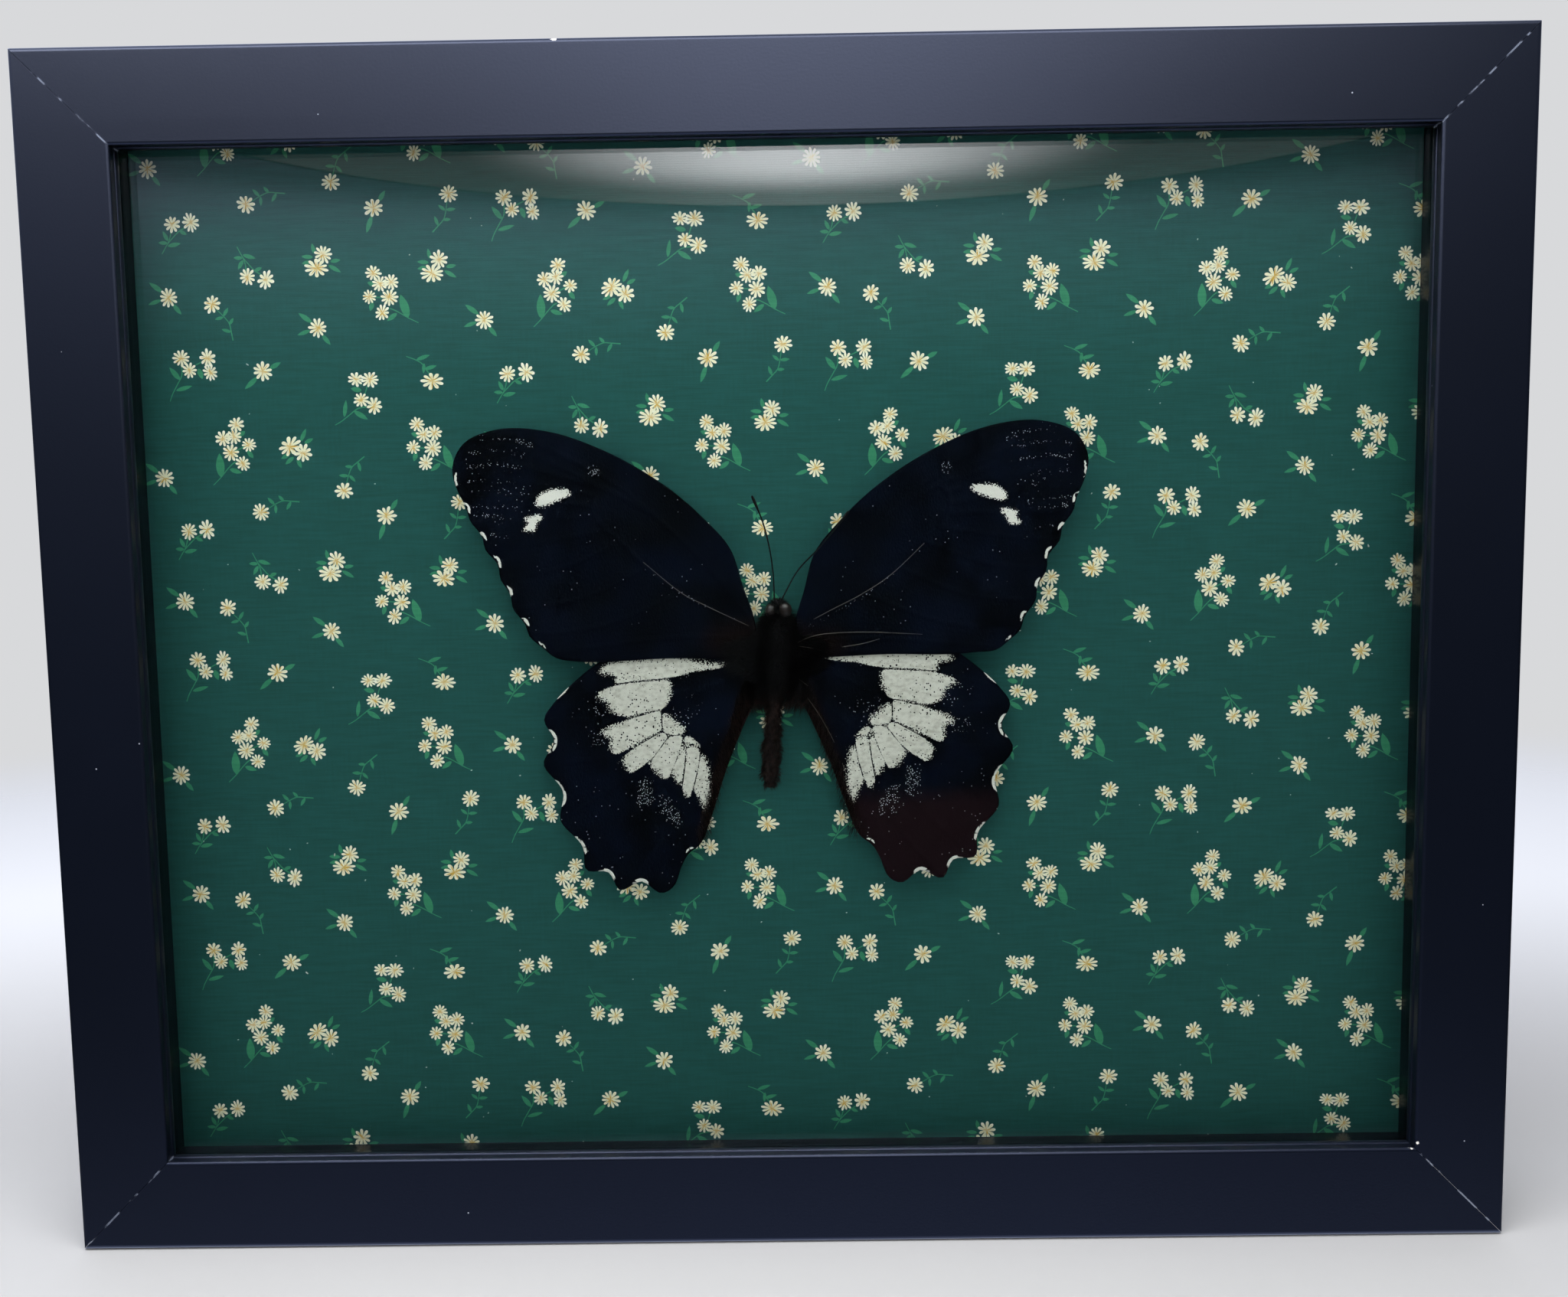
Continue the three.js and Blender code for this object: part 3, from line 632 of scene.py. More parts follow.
cloth = {
    "step": (65.4, 30.2),  # each repeat lies this far across and half a drop up, mm
    "stemWidth": 0.26,
    "stemEnd": 0.16,
    "petals": (9, 11),
    "petalLength": (0.9, 1.06),  # share of the flower's half width or height
    "petalFoot": (0.8, 1.2),
    # outline of one petal: share of its turn around the flower, and reach, which is short only at the foot
    "petalEdge": ((0.0, 0.36), (0.17, 0.84), (0.32, 1.02), (0.5, 1.08), (0.68, 1.02), (0.83, 0.84)),
    # outline of a leaf: share of its length and half width as a share of its width
    "leafEdge": [(0.12, 0.3), (0.3, 0.46), (0.5, 0.5), (0.7, 0.4), (0.88, 0.2)],
    "margin": 8.0,  # motifs whose first flower lies this far outside the cloth may still reach into it
    # flowers: x, z, half width, half height, tilt; leaves: foot, tip, width; stems: points; all in mm
    "motifs": {
        "cluster": {
            "flowers": [
                (1.35, 5.5, 1.5, 1.4, 20), (0.85, 3.15, 1.5, 1.45, 0), (-1.4, 2.75, 1.5, 1.5, 10),
                (3.7, 1.45, 1.4, 1.3, 0), (2.35, -2.25, 1.35, 1.55, 40), (0, 0, 1.65, 1.6, 0),
            ],
            "leaves": [
                ((-2.2, -4.9), (-2.3, -0.1), 1.75), ((-0.4, -3.3), (2.0, -4.1), 0.95),
                ((3.4, 0.3), (4.5, -1.2), 0.95), ((1.9, 3.3), (3.1, 4.2), 0.9),
            ],
            "stems": [
                [(-3.8, -6.45), (-2.2, -4.9), (-1.0, -3.5), (0.2, -2.3), (0.9, -1.9)],
                [(0, 0), (1.4, 0.5), (2.8, 1.1)],
            ],
        },
        "pair": {
            "flowers": [(0, 0, 2.25, 1.65, 0), (1.4, 2.6, 1.7, 1.75, 30)],
            "leaves": [
                ((-0.3, 2.8), (-0.7, 4.8), 0.8), ((-0.6, 2.1), (-2.9, 2.3), 0.85),
                ((-1.0, 1.2), (-2.9, 0.9), 0.8), ((2.8, 1.2), (4.8, 1.5), 0.8),
                ((2.4, 0.5), (4.8, -0.9), 0.85),
            ],
            "stems": [],
        },
        "quad": {
            "flowers": [
                (0, 0, 1.65, 1.55, 0), (1.5, -2.4, 1.4, 1.45, 0), (5.2, 0, 1.5, 1.75, 0),
                (5.6, -2.8, 1.3, 1.55, 20),
            ],
            "leaves": [
                ((-0.5, -4.2), (-2.5, -1.7), 1.05), ((-1.4, -6.3), (1.9, -5.4), 0.85),
                ((3.3, -2.0), (4.0, -4.1), 1.05),
            ],
            "stems": [
                [(-2.7, -8.4), (-2.1, -6.9), (-1.0, -5.0), (-0.1, -3.3), (0, -1.2)],
                [(2.0, -1.7), (3.9, -0.8)],
            ],
        },
        "bud3": {
            "flowers": [(0, 0, 1.75, 1.8, 0)],
            "leaves": [
                ((-1.1, 1.1), (-3.7, 3.0), 1.0), ((-1.5, -0.4), (-4.1, -1.3), 0.8),
                ((0.8, -1.3), (2.4, -3.3), 0.9),
            ],
            "stems": [],
        },
        "bud2": {
            "flowers": [(0, 0, 1.95, 1.75, 0)],
            "leaves": [((1.0, 1.2), (2.4, 3.3), 0.95), ((-0.4, -1.5), (-1.6, -4.8), 1.0)],
            "stems": [],
        },
        "drooping": {
            "flowers": [(0, 0, 2.2, 1.6, 0)],
            "leaves": [
                ((-3.0, 4.2), (-0.3, 5.1), 0.8), ((-1.5, 2.3), (1.0, 3.0), 0.8),
                ((-1.5, 3.5), (-1.7, 1.5), 0.7),
            ],
            "stems": [[(-5.0, 4.9), (-3.2, 4.2), (-1.9, 3.4), (-1.2, 2.3), (-0.4, 1.3)]],
        },
        "twin": {
            "flowers": [(0, 0, 1.55, 1.6, 0), (3.7, 0.3, 1.5, 1.85, 15)],
            "leaves": [
                ((-1.0, -3.2), (-1.9, -1.3), 0.8), ((-1.1, -3.6), (-2.9, -3.5), 0.75),
                ((-1.1, -4.2), (1.5, -3.7), 0.85), ((1.4, -1.3), (2.8, -2.0), 0.75),
            ],
            "stems": [
                [(-2.3, -5.7), (-1.1, -3.8), (0.2, -2.4), (1.4, -1.3), (2.8, -0.6)],
                [(-1.1, -3.8), (-0.5, -2.4), (-0.3, -1.2)],
            ],
        },
        "sprig": {
            "flowers": [(0, 0, 1.75, 1.6, 0)],
            "leaves": [
                ((1.0, 3.0), (-0.9, 3.1), 0.7), ((1.2, 3.1), (2.4, 1.8), 0.65),
                ((1.9, 4.8), (0.4, 4.9), 0.65), ((3.1, 5.7), (3.5, 3.8), 0.7),
            ],
            "stems": [[(0.5, 1.2), (1.1, 3.2), (1.8, 4.7), (3.0, 5.7), (4.4, 6.8)]],
        },
    },
    # motif, x and z of its first flower from the bottom middle of the frame, turn in degrees, mirrored
    "places": [
        ("cluster", 54.1, 189.0, 18, True), ("cluster", 61.6, 159.3, 18, True),
        ("cluster", 86.4, 189.3, 0, False), ("bud3", 72.8, 184.4, 0, False),
        ("bud3", 75.6, 159.5, 0, False), ("bud3", 105.0, 153.1, 0, False),
        ("pair", 98.3, 190.3, -145, True), ("pair", 105.3, 164.8, 0, False),
        ("pair", 62.8, 133.2, 0, False), ("sprig", 108.8, 181.3, 0, False),
        ("sprig", 91.9, 177.3, -43, False), ("sprig", 84.2, 158.1, -119, False),
        ("sprig", 66.6, 148.5, -172, False), ("bud2", 117.1, 176.2, 0, False),
        ("bud2", 93.6, 144.8, -29, False), ("drooping", 62.0, 172.6, 0, False),
        ("twin", 77.1, 173.7, 0, False), ("twin", 91.5, 163.3, 175, True),
        ("quad", 77.5, 147.6, 0, False), ("quad", 115.6, 137.7, -83, True),
    ],
}


# The point that lies so far across and up from x, z once it is turned about it
def turned(x, z, across, up, angle):
    return (
        x + across * math.cos(angle) - up * math.sin(angle),
        z + across * math.sin(angle) + up * math.cos(angle),
    )


def petalRing(draw, x, z, halfWidth, halfHeight, tilt):
    count = draw.randint(*cloth["petals"])
    start = draw.uniform(0, 2 * math.pi)
    lean = math.radians(tilt)
    ring = []
    for i in range(count):
        longer = draw.uniform(*cloth["petalLength"])
        for offset, reach in cloth["petalEdge"]:
            angle = start + 2 * math.pi * (i + offset) / count
            far = reach * (longer if offset > 0 else draw.uniform(*cloth["petalFoot"]))
            across, up = halfWidth * far * math.cos(angle), halfHeight * far * math.sin(angle)
            ring.append(turned(x, z, across, up, lean))
    return ring


def leafOutline(foot, tip, width):
    foot, tip = np.array(foot, float), np.array(tip, float)
    side = np.array([-(tip - foot)[1], (tip - foot)[0]]) / np.linalg.norm(tip - foot)
    left = [foot + (tip - foot) * t + side * width * w for t, w in cloth["leafEdge"]]
    right = [foot + (tip - foot) * t - side * width * w for t, w in reversed(cloth["leafEdge"])]
    return [tuple(p) for p in [foot, *left, tip, *right]]


def stemOutline(points):
    line = smoothLine(points, 4)
    left, right = [], []
    for i, p in enumerate(line):
        ahead = line[min(i + 1, len(line) - 1)] - line[max(i - 1, 0)]
        side = np.array([-ahead[1], ahead[0]]) / np.linalg.norm(ahead)
        share = i / (len(line) - 1)
        half = (cloth["stemEnd"] * (1 - share) + cloth["stemWidth"] * share) / 2
        left.append(tuple(p + side * half))
        right.append(tuple(p - side * half))
    return left + right[::-1]


# The triangulation takes an outline that runs the other way round for a hole
def anticlockwise(outline):
    area = sum(p[0] * q[1] - q[0] * p[1] for p, q in zip(outline, outline[1:] + outline[:1]))
    return outline if area > 0 else outline[::-1]


# Outlines of one motif: what is drawn first lies lowest
def motifShapes(draw, motif):
    shapes = [("leaf", stemOutline(points), None) for points in motif["stems"]]
    shapes += [("leaf", leafOutline(*leaf), None) for leaf in motif["leaves"]]
    for flower in motif["flowers"]:
        shapes.append(("petal", petalRing(draw, *flower), flower[:4]))
    return shapes


def putOnCloth(point, x, z, turn, mirrored):
    across, up = point
    return turned(x, z, -across if mirrored else across, up, math.radians(turn))


def printedShapes(low, high):
    draw = random.Random(11)
    stepX, stepZ = cloth["step"]
    margin = cloth["margin"]
    found = []
    for i in range(-4, 5):  # more than enough repeats to cover the cloth
        for j in range(-8, 8):
            for name, x, z, turn, mirrored in cloth["places"]:
                middle = (x + i * stepX, z + i * stepZ + 2 * j * stepZ)
                if not all(low[k] - margin < middle[k] < high[k] + margin for k in (0, 1)):
                    continue
                for kind, outline, core in motifShapes(draw, cloth["motifs"][name]):
                    moved = anticlockwise([putOnCloth(p, *middle, turn, mirrored) for p in outline])
                    centre = putOnCloth(core[:2], *middle, turn, mirrored) if core else None
                    found.append((kind, moved, centre, core[2] if core else 1.0, draw.uniform(0, 40)))
    return found


def printedCotton():
    low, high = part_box("backing_fabric")
    left, right, bottom, top = (v / mm for v in (low.x, high.x, low.z, high.z))
    front, rear = low.y / mm, high.y / mm
    shapes = printedShapes((left, bottom), (right, top))
    corners = [(left, bottom), (right, bottom), (right, top), (left, top)]
    points, loops = [Vector(c) for c in corners], [[0, 1, 2, 3]]
    for _, outline, *_ in shapes:
        first = len(points)
        points += [Vector(p) for p in outline]
        loops.append(list(range(first, len(points))))
    made = delaunay_2d_cdt(points, [], loops, 1, 1e-4, True)
    places, faces, owners = made[0], made[2], made[5]

    kept, looks, inFlower = [], [], []
    for face, owner in zip(faces, owners):
        if 0 not in owner:
            continue
        topmost = max(owner)
        kept.append(list(face))
        if topmost == 0:
            looks.append(0)
            inFlower += [(0, 0, 0)] * 3
            continue
        kind, outline, centre, size, luck = shapes[topmost - 1]
        looks.append(1 if kind == "leaf" else 2)
        for v in face:
            x, z = places[v]
            inFlower.append(((x - centre[0]) / size, (z - centre[1]) / size, luck) if centre else (0, 0, 0))

    used = sorted({v for face in kept for v in face})
    number = {v: i for i, v in enumerate(used)}
    kept = [[number[v] for v in face] for face in kept]
    solidPoints = [(places[v][0], front, places[v][1]) for v in used]
    a, b, c = (np.array(solidPoints[v]) for v in kept[0])
    if np.cross(b - a, c - a)[1] > 0:  # the front has to face forwards
        kept = [face[::-1] for face in kept]
        inFlower = [inFlower[3 * i + k] for i in range(len(kept)) for k in (2, 1, 0)]

    # close the sheet: its rim goes straight back to a plain rear face
    edges = {}
    for face in kept:
        for p, q in zip(face, face[1:] + face[:1]):
            edges[(p, q)] = True
    rim = {q: p for p, q in edges if (q, p) not in edges}
    start = next(iter(rim))
    loop = [start]
    while rim[loop[-1]] != start:
        loop.append(rim[loop[-1]])
    base = len(solidPoints)
    solidPoints += [(solidPoints[v][0], rear, solidPoints[v][2]) for v in loop]
    count = len(loop)
    for i in range(count):
        j = (i + 1) % count
        kept.append([loop[i], loop[j], base + j, base + i])
        looks.append(0)
        inFlower += [(0, 0, 0)] * 4
    kept.append([base + i for i in range(count)])
    looks.append(0)
    inFlower += [(0, 0, 0)] * count

    sheet = newPiece(
        "printed_cotton",
        solidPoints,
        kept,
        [finish["ground"], finish["leaf"], finish["petal"]],
        ["backing_fabric"],
    )
    sheet.data.polygons.foreach_set("material_index", looks)
    layer = sheet.data.attributes.new("inFlower", "FLOAT_VECTOR", "CORNER")
    layer.data.foreach_set("vector", np.array(inFlower, np.float32).ravel())
    print("printed cotton made,", len(kept), "faces")


printedCotton()


# Marks are written where they lie on the left wings, in mm from the bottom middle of the frame.
# The right wings take the same marks, mirrored.
butterfly = {
    "axis": -1.2,
    "thorax": 118.0,
    "grain": 0.5,  # spacing of a wing's mesh, mm
    "thickness": 0.16,
    "ridge": (0.07, 0.3),  # a vein stands up this far, within this distance
    "sag": (0.06, 2.2),  # and between two veins the wing sinks this far
    # slow waves in the wing: height, and turn for each mm across and up
    "waves": [(0.10, 0.23, 0.11), (0.06, 0.0, 0.41)],
    "rowWidth": 0.42,
    "redTop": (89.0, 85.0),  # height over which the right hindwing turns red-brown
}

foreVeins = [
    [
        (-5.1, 122.2), (-8.5, 124.0), (-15.0, 127.3), (-20.0, 130.1), (-25.0, 133.5), (-28.0, 136.5),
        (-31.2, 140.0),
    ],
    [
        (-5.1, 123.5), (-15.2, 136.0), (-25.2, 145.5), (-34.2, 150.5), (-36.7, 147.5), (-35.7, 144.0),
        (-31.2, 140.0),
    ],
    [(-15.2, 136.0), (-30.0, 149.8), (-45.2, 158.5), (-55.0, 161.6)],
    [(-25.2, 145.5), (-49.0, 157.8), (-60.0, 160.3)],
    [(-34.2, 150.5), (-51.0, 155.3), (-63.4, 157.2)],
    [(-36.2, 149.2), (-51.0, 152.3), (-64.0, 154.4)],
    [(-36.8, 147.0), (-51.0, 149.0), (-62.8, 149.4)],
    [(-36.2, 145.0), (-49.0, 144.8), (-60.4, 144.4)],
    [(-34.4, 142.4), (-46.2, 140.3), (-57.4, 139.0)],
    [(-31.2, 140.0), (-43.2, 135.0), (-54.8, 133.3)],
    [(-26.4, 134.8), (-39.2, 129.0), (-52.3, 127.2)],
    [(-19.4, 129.8), (-35.2, 123.5), (-49.4, 122.0)],
    [(-5.1, 120.5), (-21.0, 121.0), (-46.0, 118.2)],
]

hindVeins = [
    [(-6.0, 115.8), (-16.0, 113.6), (-21.2, 112.9), (-29.0, 112.2), (-34.5, 111.4), (-45.6, 108.2)],
    [(-6.0, 115.0), (-15.5, 110.5), (-24.2, 106.4), (-31.5, 104.9), (-40.0, 104.6), (-48.0, 104.8)],
    [
        (-24.2, 106.4), (-24.1, 103.8), (-24.2, 102.2), (-22.6, 101.2), (-20.0, 101.3), (-16.0, 101.0),
        (-5.7, 112.0),
    ],
    [(-24.2, 102.2), (-33.3, 97.3), (-48.1, 95.8)],
    [(-23.0, 101.0), (-28.0, 95.0), (-45.0, 84.2)],
    [(-20.2, 100.6), (-22.7, 93.6), (-30.5, 83.0), (-40.1, 74.0)],
    [(-19.5, 97.8), (-20.5, 90.5), (-25.2, 80.0), (-33.4, 69.8)],
    [(-16.5, 98.0), (-18.2, 89.8), (-21.2, 80.0), (-25.1, 69.1)],
]

forewing = {
    "spots": [
        [(-47.9, 147.6), (-47.2, 149.3), (-45.5, 150.2), (-43.0, 150.5), (-41.5, 150.3), (-41.1, 149.5),
         (-42.1, 148.9), (-44.2, 148.1), (-46.5, 147.3)],
        [(-50.4, 142.6), (-49.6, 143.9), (-50.0, 144.9), (-48.6, 145.3), (-47.2, 145.6), (-46.9, 144.8),
         (-47.9, 143.9), (-48.3, 142.6)],
    ],
    "patches": [],
    "lunules": [
        ([(-63.3, 154.2), (-63.5, 152.6), (-63.1, 150.9)], 0.5),
        ([(-62.1, 148.3), (-61.2, 147.4), (-60.9, 146.0)], 0.55),
        ([(-59.4, 142.4), (-58.4, 142.0), (-57.8, 140.8)], 0.55),
        ([(-56.6, 137.7), (-55.6, 137.0), (-55.2, 135.2)], 0.55),
        ([(-54.0, 131.7), (-53.2, 130.6), (-53.4, 129.1)], 0.55),
        ([(-51.4, 125.2), (-50.4, 124.8), (-50.0, 123.3)], 0.55),
        ([(-48.3, 120.6), (-47.4, 119.9), (-46.8, 119.1)], 0.45),
    ],
    # drifts of pale scales: x, z, half width, half height, share of scales that are pale
    "drifts": [
        (-36.3, 154.0, 0.9, 0.8, 0.95), (-17.0, 144.5, 2.5, 1.0, 0.12), (-55.0, 153.0, 5.5, 8.0, 0.06),
        (-34.0, 138.0, 22.0, 14.0, 0.007),
    ],
    # rows of pale scales between the veins near the tip: the line and the share of scales that are pale
    "rows": [
        ([(-58.6, 160.3), (-55.0, 160.6), (-51.0, 160.1), (-48.3, 159.2)], 0.54),
        ([(-60.4, 157.9), (-56.0, 158.3), (-52.0, 157.7), (-50.3, 157.2)], 0.56),
        ([(-60.6, 155.1), (-56.0, 155.5), (-52.0, 155.0), (-51.0, 154.8)], 0.62),
        ([(-60.8, 152.3), (-56.5, 152.5), (-52.0, 152.1)], 0.54),
        ([(-60.4, 150.4), (-57.0, 150.6), (-53.2, 150.2)], 0.38),
        ([(-60.2, 147.4), (-56.0, 147.1), (-52.0, 146.9)], 0.6),
        ([(-59.8, 145.9), (-56.0, 145.6), (-52.5, 145.3)], 0.48),
        ([(-57.0, 141.8), (-53.0, 141.4), (-48.0, 140.6)], 0.18),
        ([(-8.0, 123.8), (-15.0, 127.2), (-20.0, 130.0), (-25.0, 133.4)], 0.25),
    ],
    "veins": foreVeins,
    "hairPath": [(-5.0, 121.0), (-12.0, 120.0)],
    "hairWidth": 5.0,
}

hindwing = {
    "spots": [],
    "patches": [
        [(-36.3, 114.2), (-35.3, 115.4), (-33.5, 116.1), (-29.0, 116.6), (-24.0, 117.0), (-20.5, 117.2),
         (-17.5, 116.3), (-14.2, 115.6), (-11.0, 115.3), (-12.5, 114.6), (-16.5, 114.2), (-18.6, 113.7),
         (-21.3, 113.05), (-25.0, 112.65), (-29.0, 112.35), (-32.9, 111.9), (-33.3, 113.1), (-34.2, 113.7)],
        [(-37.0, 109.5), (-35.2, 110.9), (-31.5, 111.8), (-27.0, 112.2), (-22.6, 112.4), (-22.2, 110.8),
         (-22.4, 109.0), (-23.0, 107.6), (-24.2, 106.55), (-28.0, 105.85), (-30.8, 105.2), (-33.0, 105.5),
         (-34.3, 106.6), (-35.0, 108.2)],
        [(-36.4, 101.8), (-34.0, 103.4), (-30.5, 104.7), (-27.0, 105.7), (-24.4, 106.2), (-24.3, 104.0),
         (-24.35, 102.3), (-27.0, 100.9), (-30.0, 99.3), (-33.0, 97.7), (-34.1, 97.9), (-34.5, 99.8),
         (-34.3, 100.8)],
        [(-24.0, 105.5), (-23.0, 105.3), (-21.9, 104.6), (-20.9, 103.7), (-19.9, 102.9), (-20.0, 101.5),
         (-22.5, 101.4), (-23.9, 102.3)],
        [(-32.1, 96.2), (-31.0, 97.9), (-28.5, 99.6), (-24.4, 101.8), (-23.1, 101.0), (-24.1, 99.3),
         (-26.2, 96.8), (-28.5, 94.9), (-30.6, 93.8), (-31.4, 94.8)],
        [(-26.6, 95.4), (-25.2, 97.9), (-22.7, 100.9), (-20.3, 101.1), (-20.3, 99.6), (-21.4, 96.3),
         (-22.5, 93.7), (-23.5, 92.4), (-25.0, 93.4)],
        [(-22.4, 93.7), (-21.2, 96.6), (-20.1, 99.4), (-19.5, 97.6), (-20.0, 94.0), (-20.7, 91.2),
         (-21.4, 92.0)],
        [(-20.3, 90.0), (-19.9, 93.5), (-19.3, 97.4), (-19.1, 99.0), (-17.4, 99.1), (-16.6, 97.6),
         (-17.4, 93.2), (-18.4, 90.0), (-19.0, 88.7)],
        [(-18.0, 90.4), (-17.3, 93.0), (-16.4, 97.4), (-15.5, 96.0), (-15.0, 93.5), (-14.9, 91.0),
         (-15.2, 88.0), (-15.9, 86.2), (-16.7, 87.9), (-17.4, 89.0)],
        [(-19.5, 99.7), (-19.5, 101.1), (-18.0, 100.7), (-17.0, 99.5), (-18.1, 99.3)],
    ],
    "lunules": [
        ([(-45.3, 108.9), (-44.1, 109.8), (-42.5, 111.3)], 0.5),
        ([(-46.8, 102.8), (-45.8, 101.8), (-45.5, 100.4), (-46.0, 98.9), (-47.2, 98.1)], 0.6),
        ([(-46.2, 92.5), (-44.9, 91.6), (-44.1, 89.8), (-44.1, 88.4), (-44.8, 87.0)], 0.6),
        ([(-42.8, 80.9), (-41.6, 80.5), (-40.5, 79.0), (-40.1, 77.2)], 0.6),
        ([(-37.7, 73.6), (-36.3, 74.0), (-35.1, 73.3), (-34.4, 71.7)], 0.65),
        ([(-30.9, 71.0), (-29.4, 71.9), (-28.1, 71.5), (-27.7, 70.5)], 0.65),
        ([(-20.0, 77.2), (-19.3, 78.0), (-18.0, 78.5)], 0.4),
    ],
    "drifts": [
        (-27.9, 89.8, 1.3, 2.7, 0.6), (-23.8, 87.2, 1.4, 1.9, 0.5), (-22.3, 84.6, 1.3, 1.7, 0.55),
        (-19.3, 106.5, 2.6, 3.0, 0.13), (-37.6, 100.8, 1.8, 1.3, 0.25), (-36.2, 106.2, 1.4, 1.0, 0.25),
        (-38.0, 109.5, 1.6, 1.4, 0.15), (-17.0, 112.5, 3.5, 1.2, 0.12), (-30.0, 90.0, 16.0, 22.0, 0.013),
    ],
    "rows": [],
    "veins": hindVeins,
    "hairPath": [(-5.0, 112.5), (-8.2, 104.0), (-12.3, 92.0), (-15.5, 80.5)],
    "hairWidth": 3.2,
}

# How each wing differs from the left one: turned by degrees and raised. The lift is for the lower edge only.
wings = {
    "forewing_left": {"side": -1, "marks": forewing, "turn": 0.0, "rise": 0.0, "red": 0.0, "lift": 0.3},
    "forewing_right": {"side": 1, "marks": forewing, "turn": 1.5, "rise": -1.3, "red": 0.0, "lift": 1.25},
    "hindwing_left": {"side": -1, "marks": hindwing, "turn": 0.0, "rise": 0.0, "red": 0.0, "lift": 0.0},
    "hindwing_right": {"side": 1, "marks": hindwing, "turn": 1.0, "rise": 1.1, "red": 1.0, "lift": 0.0},
}


# From a wing's place on the frame to the same place on the left wing, and back
def ontoLeft(points, wing):
    angle = math.radians(wing["turn"])
    out = wing["side"] * (points[:, 0] - butterfly["axis"])
    up = points[:, 1] - butterfly["thorax"] - wing["rise"]
    flat = np.stack(
        [out * math.cos(angle) + up * math.sin(angle), -out * math.sin(angle) + up * math.cos(angle)], 1
    )
    return np.stack([butterfly["axis"] - flat[:, 0], butterfly["thorax"] + flat[:, 1]], 1)


def fromLeft(points, wing):
    angle = math.radians(wing["turn"])
    out = butterfly["axis"] - points[:, 0]
    up = points[:, 1] - butterfly["thorax"]
    across = out * math.cos(angle) - up * math.sin(angle)
    high = out * math.sin(angle) + up * math.cos(angle) + wing["rise"]
    return np.stack([butterfly["axis"] + wing["side"] * across, butterfly["thorax"] + high], 1)


# The outline of a flat CAD piece, read from the edges of its front face
def frontOutline(name):
    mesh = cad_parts[name].data
    low = min(v.co.y for v in mesh.vertices)
    keyOf = {v.index: (round(v.co.x / mm, 3), round(v.co.z / mm, 3)) for v in mesh.vertices}
    seen = {}
    for face in mesh.polygons:
        if all(mesh.vertices[v].co.y < low + 1e-5 for v in face.vertices):
            keys = [keyOf[v] for v in face.vertices]
            for p, q in zip(keys, keys[1:] + keys[:1]):
                seen[(p, q)] = True
    after = {p: q for p, q in seen if (q, p) not in seen}
    start = next(iter(after))
    loop = [start]
    while after[loop[-1]] != start:
        loop.append(after[loop[-1]])
    return np.array(loop)


def honeycomb(outline, step):
    low, high = outline.min(0), outline.max(0)
    rows = []
    for i, z in enumerate(np.arange(low[1], high[1], step * math.sqrt(0.75))):
        xs = np.arange(low[0] + (i % 2) * step / 2, high[0], step)
        rows.append(np.stack([xs, np.full(len(xs), z)], 1))
    points = np.concatenate(rows)
    return points[depthInside(points, outline) > step * 0.45]


def resampled(path, step, closed):
    path = np.array(path, float)
    path = np.concatenate([path, path[:1]]) if closed else path
    out = []
    for a, b in zip(path[:-1], path[1:]):
        parts = max(1, round(np.linalg.norm(b - a) / step))
        out += [a + (b - a) * k / parts for k in range(parts)]
    return np.array(out if closed else [*out, path[-1]])


def softBox(points, x, z, halfWidth, halfHeight):
    off = np.sqrt(((points[:, 0] - x) / halfWidth) ** 4 + ((points[:, 1] - z) / halfHeight) ** 4)
    return np.clip(1.6 - off, 0, 1)


def wingFields(points, marks):
    count = len(points)
    fields = {
        "patchIn": np.full(count, -9.0),
        "spotIn": np.full(count, -9.0),
        "lunuleIn": np.full(count, -9.0),
        "veinOff": np.full(count, 9.0),
        "dustAmount": np.zeros(count),
    }
    for outline in marks["patches"]:
        smoothed = smoothLine(outline, 3, closed=True)
        fields["patchIn"] = np.maximum(fields["patchIn"], depthInside(points, smoothed))
    for outline in marks["spots"]:
        smoothed = smoothLine(outline, 3, closed=True)
        fields["spotIn"] = np.maximum(fields["spotIn"], depthInside(points, smoothed))
    for path, width in marks["lunules"]:
        line = smoothLine(path, 4)
        ends = np.minimum(*(np.linalg.norm(points - np.array(path[k]), axis=1) for k in (0, -1)))
        half = width / 2 * np.clip(ends / 1.0 + 0.35, 0.35, 1)
        fields["lunuleIn"] = np.maximum(fields["lunuleIn"], half - distanceTo(points, line))
    for path in marks["veins"]:
        fields["veinOff"] = np.minimum(fields["veinOff"], distanceTo(points, smoothLine(path, 3)))
    for x, z, halfWidth, halfHeight, share in marks["drifts"]:
        here = share * softBox(points, x, z, halfWidth, halfHeight)
        fields["dustAmount"] = np.maximum(fields["dustAmount"], here)
    for path, share in marks["rows"]:
        close = np.clip(1.5 - distanceTo(points, smoothLine(path, 4)) / butterfly["rowWidth"], 0, 1)
        fields["dustAmount"] = np.maximum(fields["dustAmount"], share * close)
    hairOff = distanceTo(points, marks["hairPath"])
    fields["hairZone"] = np.clip(1 - hairOff / marks["hairWidth"], 0, 1)
    return fields


def wingRelief(points, veinOff):
    height, reach = butterfly["ridge"]
    depth, span = butterfly["sag"]
    relief = height * np.exp(-((veinOff / reach) ** 2)) - depth * np.clip(veinOff / span, 0, 1) ** 1.5
    for high, across, up in butterfly["waves"]:
        relief += high * np.sin(points[:, 0] * across + points[:, 1] * up)
    return relief


# 1 along a forewing's lower edge, fading out towards its root, its tip and its middle
def alongLowerEdge(outline):
    out = butterfly["axis"] - outline[:, 0]
    low = np.clip((121.0 - outline[:, 1]) / 4, 0, 1)
    return low * np.clip((47.0 - out) / 7, 0, 1) * np.clip((out - 4) / 5, 0, 1)


